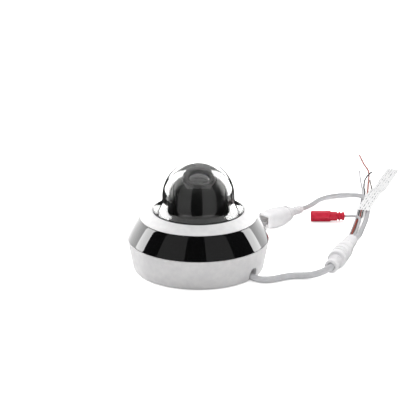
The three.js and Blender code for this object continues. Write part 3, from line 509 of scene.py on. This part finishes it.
# The same line with its points a fixed step apart.
def evenly(points, step=1.25 * mm):
    reach = [0]
    for a, b in zip(points, points[1:]):
        reach.append(reach[-1] + (b - a).length)
    count = round(reach[-1] / step)
    result, i = [], 0
    for k in range(count + 1):
        s = reach[-1] * k / count
        while i < len(points) - 2 and reach[i + 1] < s:
            i += 1
        result.append(points[i].lerp(points[i + 1], (s - reach[i]) / (reach[i + 1] - reach[i])))
    return result


def lengthOf(points):
    return sum((b - a).length for a, b in zip(points, points[1:]))


def strand(name, points, radius, material):
    data = bpy.data.curves.new(name, "CURVE")
    data.dimensions = "3D"
    data.bevel_depth = radius * mm
    data.bevel_resolution = 5
    data.use_fill_caps = True
    spline = data.splines.new("POLY")
    spline.points.add(len(points) - 1)
    for target, p in zip(spline.points, points):
        target.co = (*p, 1)
    spline.use_smooth = True
    obj = bpy.data.objects.new(name, data)
    bpy.context.scene.collection.objects.link(obj)
    return settle(obj, material, "base", "white_cable_jacket")


def cordAlong(node, name, radius, material, slotName, farEnd, stiffness, pieces=(), tip=None):
    points = smoothed(routes[node])
    extra = []
    if tip is not None:
        spare = []
        while lengthOf(spare) < cableTail["bareTip"] * mm:
            spare.insert(0, points.pop())
        spare.insert(0, points[-1])
        bare = strand(name + "_bare_end", spare, radius * 0.5, tip)
        extra.append(bare)
    obj = strand(name, points, radius, material)
    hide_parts(node)
    outOfBoxes.extend([obj, *pieces, *extra])


# Splice housing: a ribbed nut at the cable end and a long body that narrows towards the leads.
def junctionParts():
    place = laid(cableTail["junctionStart"], cableTail["junctionHeading"])
    nutEnd = cableTail["nutLength"]
    end = cableTail["junctionLength"]
    full = cableTail["junctionRadius"]
    neck = [(0, 4), (3.6, 4), (3.6, 0.2), (4.2, 0), (5.6, 0), (6.25, 0.7), (6.25, 6), (5.45, 6.6)]
    for rib in range(4):
        start = 7.3 + rib * 2.6
        neck += [(4.9, start), (6.1, start + 0.25), (6.1, start + 1.5), (4.9, start + 1.75)]
    neck += [(5.45, nutEnd - 0.4), (5.45, nutEnd), (0, nutEnd)]
    nut = lathed("splice_nut", softened(neck, 0.22), 64, place)
    start = nutEnd + 0.3
    body = [(0, start), (7.9, start), (full, start + 0.9), (full, 24.6), (7.7, 25), (7.7, 26.4),
            (full, 26.8), (full, 31), (7.6, 31.4), (7.6, 33), (full, 33.4), (full, 39), (7.9, 39.4),
            (7.9, 40.4), (8.66, 40.8),
            (8.5, 46), (8.0, 50), (7.3, 53),
            (6.7, 53.4), (6.7, 54.6), (7.1, 55), (6.7, 58), (6.3, 61), (6.05, 66), (5.9, end - 1),
            (5.3, end - 0.3), (0, end - 0.3)]
    shell = lathed("splice_body", softened(body, 0.35), 72, place)
    settle(nut, whiteMoulding, "base", "white_moulding", "junction_nut")
    settle(shell, whiteMoulding, "base", "white_moulding", "junction_body")
    return [nut, shell]


# Network socket: rounded block with a stepped mouth, eight contacts, and a ribbed boot behind.
def dataJackParts():
    heading = cableTail["jackHeading"]
    turn = math.radians(heading)
    along = Vector((math.cos(turn), math.sin(turn), 0))
    bootStart = Vector(cableTail["jackBootEnd"]) - along * cableTail["bootLength"]
    jackStart = bootStart - along * (cableTail["jackLength"] + 0.3)
    place = laid(jackStart, heading)
    width, height, length = cableTail["jackWidth"], cableTail["jackHeight"], cableTail["jackLength"]
    sections = []
    # Distance along the block, how far its sides stand in, and the radius of its corners.
    swell = ((0, 2.6, 2.6), (0.2, 2.2, 3), (0.8, 2, 3), (5.5, 2, 3), (6.2, 1.7, 3.4), (7.2, 0.8, 5),
             (9, 0.2, 6.5), (12, 0, 7), (18, 0, 7.4), (22, 0.2, 7.6), (26, 0.6, 7.6), (29, 1.1, 7.4),
             (29.7, 1.5, 7.1), (length, 2, 6.6))
    for z, inset, corner in swell:
        sections.append(roundedOutline(width - 2 * inset, height - 2 * inset, corner, z))
    block = lofted("network_socket_body", sections, place)
    mouth = roundedBar("mouth", 11.9, 8.2, 0.5, -2, 13.5, 0.3,
                       place @ Matrix.Translation((0, 0.6 * mm, 0)))
    latch = roundedBar("latch", 5.6, 3.4, 0.4, -2, 12, 0.3, place @ Matrix.Translation((0, -4.4 * mm, 0)))
    combined(block, mouth)
    combined(block, latch)
    settle(block, whiteMoulding, "base", "white_moulding", "data_jack", crease=30)
    contacts = []
    for pin in range(8):
        x = (pin - 3.5) * 1.02
        bar = roundedBar(f"socket_contact_{pin + 1}", 0.45, 0.35, 0.12, 2, 13.4, 0.1,
                         place @ Matrix.Translation((x * mm, 4.35 * mm, 0)))
        contacts.append(settle(bar, goldPlate, "base", "white_moulding"))
    boot = [(0, 0), (8.3, 0), (8.15, 1.5), (7.6, 3), (6.6, 5), (5.2, 7.4), (4.1, 8.8)]
    for rib in range(4):
        start = 9.3 + rib * 3
        boot += [(3.1, start), (4.3, start + 0.3), (4.3, start + 1.8), (3.1, start + 2.1)]
    boot += [(3.5, cableTail["bootLength"]), (0, cableTail["bootLength"])]
    sleeve = lathed("network_socket_boot", softened(boot, 0.3), 56, laid(bootStart, heading))
    settle(sleeve, whiteMoulding, "base", "white_moulding", "data_jack_boot")
    return [block, sleeve] + contacts


# Power socket: red moulding with six flat facets, a neck, ribs and a centre pin.
def powerJackParts():
    place = laid(cableTail["powerJackStart"], 0)
    outline = [(2.75, 0), (4.7, 0), (5.2, 0.35), (5.45, 1), (5.45, 19), (5.1, 19.6), (4.5, 19.9), (4.5, 26),
               (3.3, 26.3), (3.3, 27.5), (4.4, 27.8), (4.4, 29.1), (3.3, 29.4), (3.3, 30.6), (4.2, 30.9),
               (4.0, 33.4), (0.5, 33.4), (0.5, 10), (2.75, 10)]
    shell = lathed("power_socket", softened(outline, 0.3), 56, place)
    for facet in range(6):
        turned = (place @ Matrix.Rotation(math.radians(60 * facet), 4, "Z")
                  @ Matrix.Translation((0, 7.4 * mm, 0)))
        combined(shell, roundedBar("facet", 5.2, 5, 0.8, 3.4, 16.6, 0.6, turned))
    settle(shell, redPvc, "base", "red_moulding", "power_jack", crease=32)
    tip = [(0, 0.8), (0.6, 0.8), (1, 1.4), (1, 12), (0, 12)]
    pin = lathed("power_socket_pin", softened(tip, 0.25), 24, place)
    settle(pin, nickelSteel, "base", "steel_sheet")
    return [shell, pin]


splice = junctionParts()
dataJack = dataJackParts()
powerJack = powerJackParts()
whiteMouldings.extend(splice + dataJack + powerJack)
whiteJacket = (jacketPvc, "white_cable_jacket")
cordAlong("main_cable", "main_cable_jacket", 3.1, *whiteJacket, "connector", "medium", splice)
cordAlong("data_lead", "data_lead_jacket", 2.4, *whiteJacket, "connector", "medium", dataJack)
cordAlong("power_lead", "power_lead_jacket", 1.4, *whiteJacket, "connector", "limp", powerJack)
thinWires = (("white", *whiteJacket), ("black", blackInsulation, "black_wire"),
             ("red", redInsulation, "red_wire"), ("grey", greyInsulation, "grey_wire"))
for colour, insulation, slotName in thinWires:
    cordAlong("wire_" + colour, colour + "_wire", 0.7, insulation, slotName, "bare", "limp",
              tip=tinnedCopper)

# ---------- label ----------
labelFlag = {"start": (165, 135), "heading": 72.5, "length": 162, "width": 13, "thickness": 0.35,
             "heights": [(0, 7.1), (20, 7.25), (40, 7.2), (58, 7.1), (68, 6.2), (76, 4.2), (84, 2.5),
                         (92, 1.95), (110, 1.65), (135, 1.1), (162, 0.55)]}


# A folded strip of film round the leads: nearly flat, crowned a little across its width.
def labelStrip():
    turn = math.radians(labelFlag["heading"])
    along = Vector((math.cos(turn), math.sin(turn)))
    across = Vector((-along.y, along.x))
    heights = labelFlag["heights"]
    columns, rows = 10, 64
    sections = []
    for row in range(rows + 1):
        s = labelFlag["length"] * row / rows
        i = max(k for k in range(len(heights) - 1) if heights[k][0] <= s)
        (s0, z0), (s1, z1) = heights[i], heights[i + 1]
        t = (s - s0) / (s1 - s0)
        z = z0 + (z1 - z0) * t * t * (3 - 2 * t)
        top, bottom = [], []
        for column in range(columns + 1):
            side = column / columns - 0.5
            crown = 0.5 * (0.25 - side * side) * 4 * (1 if s < 60 else max(0, 1 - (s - 60) / 25))
            p = Vector(labelFlag["start"]) + along * s + across * side * labelFlag["width"]
            top.append((p.x, p.y, z + crown))
            bottom.append((p.x, p.y, z + crown - labelFlag["thickness"]))
        sections.append(top + bottom[::-1])
    strip = settle(lofted("cable_label_film", sections), film, "base", "label_film", "cable_label")
    outOfBoxes.append(strip)
    whiteMouldings.append(strip)


labelStrip()
print("cable tail done")

# ---------- base ----------
base = {
    "bodyRadius": 65.35,
    "shoulder": 28.8,
    "footRadius": 60.5,
    "footRound": 3,
    "rim": 3,
    "wall": 2.8,
    "floorBottom": 8.5,
    "floorTop": 11,
    "notchAngle": -36,
    "notchWidth": 10,
    "notchHeight": 12.3,
    "tunnelWall": 1.8,
    "tunnelStart": 46,
    "mountCircle": 52.5,
    "mountHole": 2.4,
    "mountBoss": 4.5,
}
dome = {
    "windowTopRadius": 53.9,
    "windowTop": 49.0,
    "collarRadius": 41.6,
    "ringTop": 55.4,
    "bubbleRadius": 33.1,
    "bubbleWall": 2,
    "bubbleCentre": 68.6,
    "flareStart": 65.0,
    "flangeTop": 48.8,
    "flangeBottom": 46.8,
}


def baseRadiusAt(height):
    rise = (height - base["footRound"]) / (base["shoulder"] - base["footRound"])
    return base["footRadius"] + rise * (base["bodyRadius"] - base["footRadius"])


def archOutline(width, height, bottom, z, steps=20):
    radius = width / 2
    arc = [(radius * math.cos(a), height - radius + radius * math.sin(a), z)
           for a in (math.pi * k / steps for k in range(steps + 1))]
    return [(-radius, bottom, z), (radius, bottom, z)] + arc


# Die-cast base: tapered wall, rounded foot, arched way out for the cable and three mounting holes.
def baseCover():
    foot, edge = base["footRadius"], base["footRound"]
    wall, top = base["wall"], base["bodyRadius"]
    arc = [(foot - edge + edge * math.sin(a), edge - edge * math.cos(a))
           for a in (math.pi / 2 * k / 8 for k in range(9))]
    low, high, shoulder = base["floorBottom"], base["floorTop"], base["shoulder"]
    profile = ([(0, low), (baseRadiusAt(low) - wall, low), (foot - edge - base["rim"], 0)] + arc
               + [(top - 0.5, shoulder - 2.4), (top, shoulder), (top - wall, shoulder),
                  (baseRadiusAt(high) - wall, high), (0, high)])
    shell = lathed("base_cover", softened(profile, 0.55), 160)
    angle = base["notchAngle"]
    way = laid((base["tunnelStart"] * math.cos(math.radians(angle)),
                base["tunnelStart"] * math.sin(math.radians(angle)), 0), angle)
    outer = (base["notchWidth"] + 2 * base["tunnelWall"], base["notchHeight"] + base["tunnelWall"])
    tunnel = lofted("tunnel", [archOutline(*outer, 0.03, z) for z in (0, 11)], way)
    combined(shell, tunnel, "UNION")
    inner = (base["notchWidth"], base["notchHeight"])
    notch = lofted("notch", [archOutline(*inner, -2, z) for z in (base["tunnelWall"], 40)], way)
    combined(shell, notch)
    passage = roundedBar("passage", base["notchWidth"], base["floorBottom"] + 2, 0.5, -8, 3, 0.3,
                         way @ Matrix.Translation((0, (base["floorBottom"] / 2 - 0.95) * mm, 0)))
    combined(shell, passage)
    for step in (60, 180, 300):
        place = around(angle + step, base["mountCircle"])
        boss = softened(rod(base["mountBoss"], 0.02, base["floorBottom"] + 0.5), 0.4)
        combined(shell, lathed("boss", boss, 40, place), "UNION")
        combined(shell, lathed("hole", rod(base["mountHole"], -1, base["floorTop"] + 1), 32, place))
    settle(shell, powderCoat, "base", "white_powder_coat", "base_housing", crease=32)


# Black window: its face swells by 0.6 mm between its edges, and a lip drops inside the base.
def infraredWindow():
    lowest, highest = base["shoulder"] + 0.3, dome["windowTop"] - 0.15
    bottomRadius, topRadius = base["bodyRadius"] - 0.15, dome["windowTopRadius"]

    def face(inset, steps=10):
        return [(bottomRadius - inset + (topRadius - bottomRadius) * t + 0.6 * 4 * t * (1 - t),
                 lowest + (highest - lowest) * t) for t in (k / steps for k in range(steps + 1))]

    shoulder = base["shoulder"]
    lip = baseRadiusAt(shoulder - 3.3) - base["wall"] - 0.3
    profile = face(0) + face(2.76)[::-1][:-1] + [(lip - 1.6, shoulder + 3), (lip - 1.6, shoulder - 3.3),
                                                 (lip, shoulder - 3.3), (lip, shoulder + 0.3)]
    band = lathed("infrared_window", softened(profile, 0.35), 180)
    return settle(band, blackPolycarbonate, "base", "black_ir_polycarbonate", "ir_window")


# Painted trim ring that holds the bubble, with its three screw bosses underneath.
def trimRing():
    collar, top = dome["collarRadius"], dome["ringTop"]
    outer, under = dome["windowTopRadius"], dome["windowTop"] + 0.15
    seat = top - 5
    slope = [(outer - 0.25 + (collar + 1.4 - outer + 0.25) * t + 0.18 * 4 * t * (1 - t),
              under + 0.5 + (top - 0.12 - under - 0.5) * t) for t in (k / 8 for k in range(9))]
    profile = ([(collar, seat), (collar + 4.9, seat), (outer - 3.8, under), (outer - 0.15, under)] + slope
               + [(collar + 0.5, top), (collar, top - 0.35)])
    ring = lathed("trim_ring", softened(profile, 0.3), 180)
    for angle in (30, 150, 270):
        place = around(angle, collar + 7)
        boss = softened(rod(2.2, 46.8, under + 1), 0.25)
        combined(ring, lathed("boss", boss, 28, place), "UNION")
        combined(ring, lathed("hole", rod(1.5, 46, under + 0.8), 24, place))
    settle(ring, powderCoat, "base", "white_powder_coat", "top_ring", crease=30)


# Blow-moulded bubble: a half sphere that flares out to a flat flange under the ring.
def bubble():
    radius, wall, centre = dome["bubbleRadius"], dome["bubbleWall"], dome["bubbleCentre"]
    foot = dome["collarRadius"] - 0.3

    def half(size, steps=30):
        return [(size * math.sin(a), centre + size * math.cos(a))
                for a in (math.pi / 2 * k / steps for k in range(steps + 1))]

    def flare(size, end, lift, steps=12):
        a = Vector((size, dome["flareStart"]))
        b = Vector((size + 1.5, dome["ringTop"] + 4.6 - lift))
        c = Vector((end, dome["ringTop"] + 0.8 - lift))
        return [(a * (1 - t) ** 2 + b * 2 * t * (1 - t) + c * t ** 2).to_tuple()
                for t in (k / steps for k in range(steps + 1))]

    outside = half(radius) + flare(radius, foot, 0)
    top, bottom = dome["flangeTop"], dome["flangeBottom"]
    skirt = [(foot, top + 0.6), (foot + 0.6, top), (foot + 4.6, top), (foot + 4.6, bottom),
             (foot - wall, bottom)]
    inside = flare(radius - wall, foot - wall, 1.2)[::-1] + half(radius - wall)[::-1]
    shell = lathed("clear_bubble", outside + skirt + inside, 128)
    return settle(shell, bubblePolycarbonate, "base", "clear_polycarbonate", "dome_bubble", crease=50)


# Silicone seal: a flat washer with a thin lip that shows as the dark line round the bubble.
def seal():
    collar = dome["collarRadius"]
    profile = [(collar + 0.4, 49.1), (collar + 4.4, 49.1), (collar + 4.4, 50.1), (collar - 0.02, 50.1),
               (collar - 0.02, dome["ringTop"] - 0.1), (collar - 0.26, dome["ringTop"]),
               (collar - 0.26, 49.3)]
    washer = lathed("bubble_seal", softened(profile, 0.08, 2), 128)
    settle(washer, siliconeRubber, "base", "gasket_silicone", "dome_gasket", crease=45)


# Black liner between the yoke and the bubble's foot.
def liner():
    shelf = dome["ringTop"] - 2.9
    skirt = dome["collarRadius"] - dome["bubbleWall"] - 1.8
    foot = 44.4
    profile = [(31, 57), (31.6, 56.7), (skirt, shelf), (skirt, foot), (skirt + 5, foot),
               (skirt + 5, foot - 1.4),
               (skirt - 1.4, foot - 1.4), (skirt - 1.4, shelf - 0.7), (31, 55.3)]
    cone = lathed("bubble_liner", softened(profile, 0.4), 120)
    outOfBoxes.append(settle(cone, mattAbs, "base", "black_plastic", "inner_shroud", crease=35))


baseCover()
window = infraredWindow()
trimRing()
clearBubble = bubble()
seal()
liner()
print("base and bubble done")

# ---------- yoke and camera ball ----------
ball = {
    "radius": 27.6,
    "halfWidth": 22.7,
    "gap": 0.6,
    "wall": 1.6,
    "restPan": 6,
    "restTilt": 20,
    "yokeRadius": 29.6,
    "yokeBottom": 34.0,
    "yokeTop": 68.5,
    "lensRingRadius": 15,
    "lensRingTop": 26.7,
    "glassRadius": 9.8,
}
yokeFrame = Matrix.Translation(ballCentre) @ Matrix.Rotation(math.radians(ball["restPan"]), 4, "Z")
ballFrame = yokeFrame @ Matrix.Rotation(math.radians(ball["restTilt"]), 4, "X")
axisAlongX = Matrix.Rotation(math.pi / 2, 4, "Y")


def sphereArc(radius, fromX, toX, steps):
    points = []
    for k in range(steps + 1):
        start, end = math.asin(fromX / radius), math.asin(toX / radius)
        angle = start + (end - start) * k / steps
        points.append((radius * math.cos(angle), radius * math.sin(angle)))
    return points


# One side of the yoke: a spherical cheek beside the ball on a round column below.
def yokeSide(name, side, replaced):
    inner = ball["halfWidth"] + ball["gap"]
    arc = sphereArc(ball["radius"], inner, ball["radius"] - 0.001, 16)[:-1]
    facing = axisAlongX if side > 0 else Matrix.Rotation(math.pi, 4, "Z") @ axisAlongX
    cap = lathed(name, softened([(0, inner)] + arc + [(0, ball["radius"])], 0.45), 128, yokeFrame @ facing)
    centre = ballCentre.z / mm
    reach = math.acos((inner + 0.05) / ball["yokeRadius"])     # kept off the plane of the cheek
    outline = [(side * ball["yokeRadius"] * math.cos(a), side * ball["yokeRadius"] * math.sin(a))
               for a in (-reach + 2 * reach * k / 30 for k in range(31))]
    column = lofted("column", [[(x, y, z - centre) for x, y in outline]
                               for z in (ball["yokeBottom"], ball["yokeTop"])], yokeFrame)
    bevelled(column, 0.5, 4)
    combined(cap, column, "UNION")
    if side < 0:
        slotCut = roundedBar("slot", 2.2, 7.5, 0.7, -6, 6, 0.3,
                             yokeFrame @ Matrix.Rotation(math.radians(16), 4, "X")
                             @ Matrix.Translation((-23.6 * mm, 0, 25.6 * mm)))
        combined(cap, slotCut)
        stub = lathed("stub", softened(rod(3, -4, 0.5), 0.3), 32,
                      yokeFrame @ Matrix.Translation((-inner * mm, 0, 0))
                      @ Matrix.Rotation(-math.pi / 2, 4, "Y"))
        combined(cap, stub, "UNION")
    outOfBoxes.append(settle(cap, satinAbs, "pan_carriage", "black_plastic", replaced, crease=32))


# Half of the ball's drum: a hollow shell with flat sides and a round hole for the lens.
def ballShell(name, front, replaced):
    edge = ball["halfWidth"]
    thick = ball["wall"]
    outside = sphereArc(ball["radius"], -edge, edge, 48)
    inside = sphereArc(ball["radius"] - thick, edge - thick, -(edge - thick), 24)
    pivot = 3.3
    profile = ([(pivot, -edge)] + outside + [(pivot, edge), (pivot, edge - thick)]
               + inside + [(pivot, -edge + thick)])
    shell = lathed(name, softened(profile, 0.5), 160, ballFrame @ axisAlongX)
    levels = (0.15, 40) if front else (-40, -0.15)
    square = ((-50, -50), (50, -50), (50, 50), (-50, 50))
    keep = lofted("keep", [[(*p, z) for p in square] for z in levels], ballFrame)
    combined(shell, keep, "INTERSECT")
    if front:
        combined(shell, lathed("hole", rod(12.5, 10, 40), 64, ballFrame))
    outOfBoxes.append(settle(shell, satinAbs, "tilt_ball", "black_plastic", replaced, crease=32))


# Lens ring: raised rim, a sloping funnel with fine baffle steps, and the throat round the glass.
def lensRing():
    top = ball["lensRingTop"]
    outer = ball["lensRingRadius"]
    funnel = []
    for step in range(5):
        radius = 13.2 - step * 0.6
        height = top - 0.05 - step * 0.26
        funnel += [(radius, height), (radius - 0.12, height - 0.2)]
    profile = [(10.2, 21.4), (12.2, 21.4), (12.2, 25), (12.7, 25), (outer, 23.6), (outer, top - 0.6),
               (outer - 0.25, top - 0.2), (outer - 0.7, top), (13.5, top)] + funnel + [(10.2, 25.35)]
    ring = lathed("lens_ring_trim", softened(profile, 0.22), 112, ballFrame)
    outOfBoxes.append(settle(ring, satinAbs, "tilt_ball", "black_plastic", "lens_ring", crease=34))
    radius = ball["glassRadius"]
    curve = 24.0                                # radius of the front glass face
    face = [(r, 25.5 - curve + math.sqrt(curve ** 2 - r ** 2))
            for r in (radius * k / 14 for k in range(14, -1, -1))]
    glass = lathed("front_glass", [(0, 22.6), (radius, 22.6)] + face, 72, ballFrame)
    outOfBoxes.append(settle(glass, lensGlass, "tilt_ball", "lens_glass", "front_lens", crease=40))


yokeSide("yoke_left", -1, "left_yoke_arm")
yokeSide("yoke_right", 1, "right_yoke_arm")
ballShell("ball_front", True, "ball_front_shell")
ballShell("ball_rear", False, "ball_rear_shell")
lensRing()
print("yoke and ball done")

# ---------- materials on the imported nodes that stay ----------
keptNodes = [
    (siliconeRubber, "cable_gland"),
    (mattAbs, "dome_clamp_ring", "pan_chassis", "turntable", "lens_barrel"),
    (solderMask, "main_board", "ir_board", "sensor_board"),
    (extrudedAluminium, "processor_heat_sink"),
    (epoxyResin, "network_transformer", "reset_switch", "memory_card"),
    (redPvc, "reset_button"),
    (lampResin, "ir_lamp"),
    (acetal, "pan_gear", "tilt_gear"),
    (lensGlass, "zoom_group", "focus_group"),
    (filterGlass, "filter_slider"),
]


# Pinions, motors, bearing, card socket and screws are plated steel; the rest are listed above.
def finishPackedNodes():
    for name, obj in frame["nodes"].items():
        finishes = [finish for finish, *names in keptNodes if name.startswith(tuple(names))]
        obj.data.materials.clear()
        obj.data.materials.append((finishes or [nickelSteel])[0])


finishPackedNodes()
print("packed nodes finished")

# ---------- studio ----------
studio = {
    "boxDistance": 0.52,
    "boxAzimuth": 124,
    "boxSize": (0.30, 0.70),
    "boxLight": 4.5,
    "stripAzimuth": 103,
    "stripSize": (0.17, 0.45),
    "stripHeight": 0.26,
    "stripLight": 6.6,
    "wingAzimuth": 151,
    "wingSize": (0.80, 1.0),
    "wingHeight": 0.05,
    "wingLight": 2.2,
    "frontAzimuths": (("left", -46), ("right", 36)),
    "frontSize": (0.85, 2.2),
    "frontLight": 0.25,
    "fillLight": 0.76,
    "rearLight": 2.6,
    "tailLight": 2.0,
    "floorGlow": 0.55,
    "floorColour": "#F7F7F7",
    "frontDark": 0.03,
    "behindBright": 0.5,
}


# Radiance times area times four gives an area lamp's power in watts.
def lightPanel(name, azimuth, distance, height, size, radiance, aim=(0, 0, 0.06)):
    data = bpy.data.lights.new(name, "AREA")
    data.shape = "RECTANGLE"
    data.size, data.size_y = size
    data.energy = radiance * size[0] * size[1] * 4
    obj = bpy.data.objects.new(name, data)
    turn = math.radians(azimuth)
    obj.location = (distance * math.sin(turn), -distance * math.cos(turn), height)
    obj.rotation_euler = (Vector(aim) - obj.location).to_track_quat("-Z", "Y").to_euler()
    obj.visible_camera = False
    bpy.context.scene.collection.objects.link(obj)
    return obj


def collectionOf(name, objects, excluded=False):
    group = bpy.data.collections.new(name)
    for i, obj in enumerate(objects):
        group.objects.link(obj)
        if excluded:
            group.collection_objects[i].light_linking.link_state = "EXCLUDE"
    return group


def buildStudio():
    size = studio["boxSize"]
    height = size[1] / 2 + 0.005
    distance = studio["boxDistance"]
    windowOnly = collectionOf("lit_by_strips", [window])
    # The wide boxes leave out the window, the black parts inside the bubble and the cable tail.
    mostParts = collectionOf("lit_by_boxes", [window] + outOfBoxes, True)
    for side in (-1, 1):
        box = lightPanel(f"softbox_{side + 2}", side * studio["boxAzimuth"], distance, height,
                         size, studio["boxLight"], (0, 0, height))
        box.light_linking.receiver_collection = mostParts
        for kind in ("strip", "wing"):
            panel = lightPanel(f"{kind}_{side + 2}", side * studio[kind + "Azimuth"], distance,
                               studio[kind + "Height"], studio[kind + "Size"], studio[kind + "Light"],
                               (0, 0, studio[kind + "Height"]))
            panel.light_linking.receiver_collection = windowOnly
    for name, azimuth in studio["frontAzimuths"]:
        lightPanel("front_panel_" + name, azimuth, 1.0, 0.5, studio["frontSize"],
                   studio["frontLight"], (0, 0, 0.5))
    # The pale cap on top of the bubble mirrors a bright wall far behind it.
    rear = lightPanel("rear_wall", 180, 1.3, 0.42, (1.6, 0.7), studio["rearLight"], (0, 0, 0.3))
    rear.light_linking.receiver_collection = collectionOf("lit_by_rear_wall", [clearBubble])
    overhead = lightPanel("overhead", 0, 0, 2.2, (4.5, 4.5), studio["fillLight"], (0, 0, 0))
    overhead.visible_glossy = False
    above = lightPanel("tail_light", 125, 0.2, 0.8, (0.6, 0.6), studio["tailLight"], (0.14, 0.1, 0))
    above.visible_glossy = False
    above.light_linking.receiver_collection = collectionOf("lit_by_tail_light", whiteMouldings)


def buildFloor():
    form = bmesh.new()
    bmesh.ops.create_circle(form, cap_ends=True, segments=96, radius=4)
    floor = toObject("floor", form, Matrix.Translation((0, 0, -0.02 * mm)))
    material, tree, shader, where = newMaterial("paper_sweep", Base_Color=linear(studio["floorColour"]),
                                                Specular_IOR_Level=0.0)
    fibre = addNode(tree, "TexNoise", {"Scale": perMetre(2), "Detail": 4}, {"Vector": where})
    haze = addNode(tree, "MapRange", {"To Min": 0.85, "To Max": 0.95}, {"Value": fibre.outputs["Fac"]})
    tree.links.new(haze.outputs["Result"], shader.inputs["Roughness"])
    # The paper glows a little towards the lens, so that shadows on it stay faint.
    seen = addNode(tree, "LightPath").outputs["Is Camera Ray"]
    glow = addNode(tree, "Math", {1: studio["floorGlow"]}, {0: seen}, operation="MULTIPLY")
    tree.links.new(glow.outputs[0], shader.inputs["Emission Strength"])
    shader.inputs["Emission Color"].default_value = (1, 1, 1, 1)
    floor.data.materials.append(material)
    # Reflections and the clear bubble see the dark studio and not the paper.
    floor.visible_glossy = False
    floor.visible_transmission = False


# Bright behind the camera dome, dark in front of it, and white wherever the lens looks past it.
def buildWorld():
    world = bpy.data.worlds.new("studio")
    bpy.context.scene.world = world
    world.use_nodes = True
    tree = world.node_tree
    background = tree.nodes["Background"]
    direction = addNode(tree, "TexCoord").outputs["Generated"]
    split = addNode(tree, "SeparateXYZ", None, {"Vector": direction})
    rear = addNode(tree, "MapRange", {"From Min": 0.30, "From Max": 0.50}, {"Value": split.outputs["Y"]})
    above = addNode(tree, "MapRange", {"From Min": -0.05, "From Max": 0.10}, {"Value": split.outputs["Z"]})
    both = addNode(tree, "Math", None, {0: rear.outputs["Result"], 1: above.outputs["Result"]},
                   operation="MULTIPLY")
    rise = addNode(tree, "MapRange", {"To Min": studio["frontDark"], "To Max": studio["behindBright"]},
                   {"Value": both.outputs[0]})
    seen = addNode(tree, "LightPath").outputs["Is Camera Ray"]
    level = addNode(tree, "Mix", {"B": 1.0}, {"Factor": seen, "A": rise.outputs["Result"]},
                    data_type="FLOAT")
    tree.links.new(level.outputs["Result"], background.inputs["Strength"])
    background.inputs["Color"].default_value = (1, 1, 1, 1)


buildWorld()
buildFloor()
buildStudio()
print("studio done")
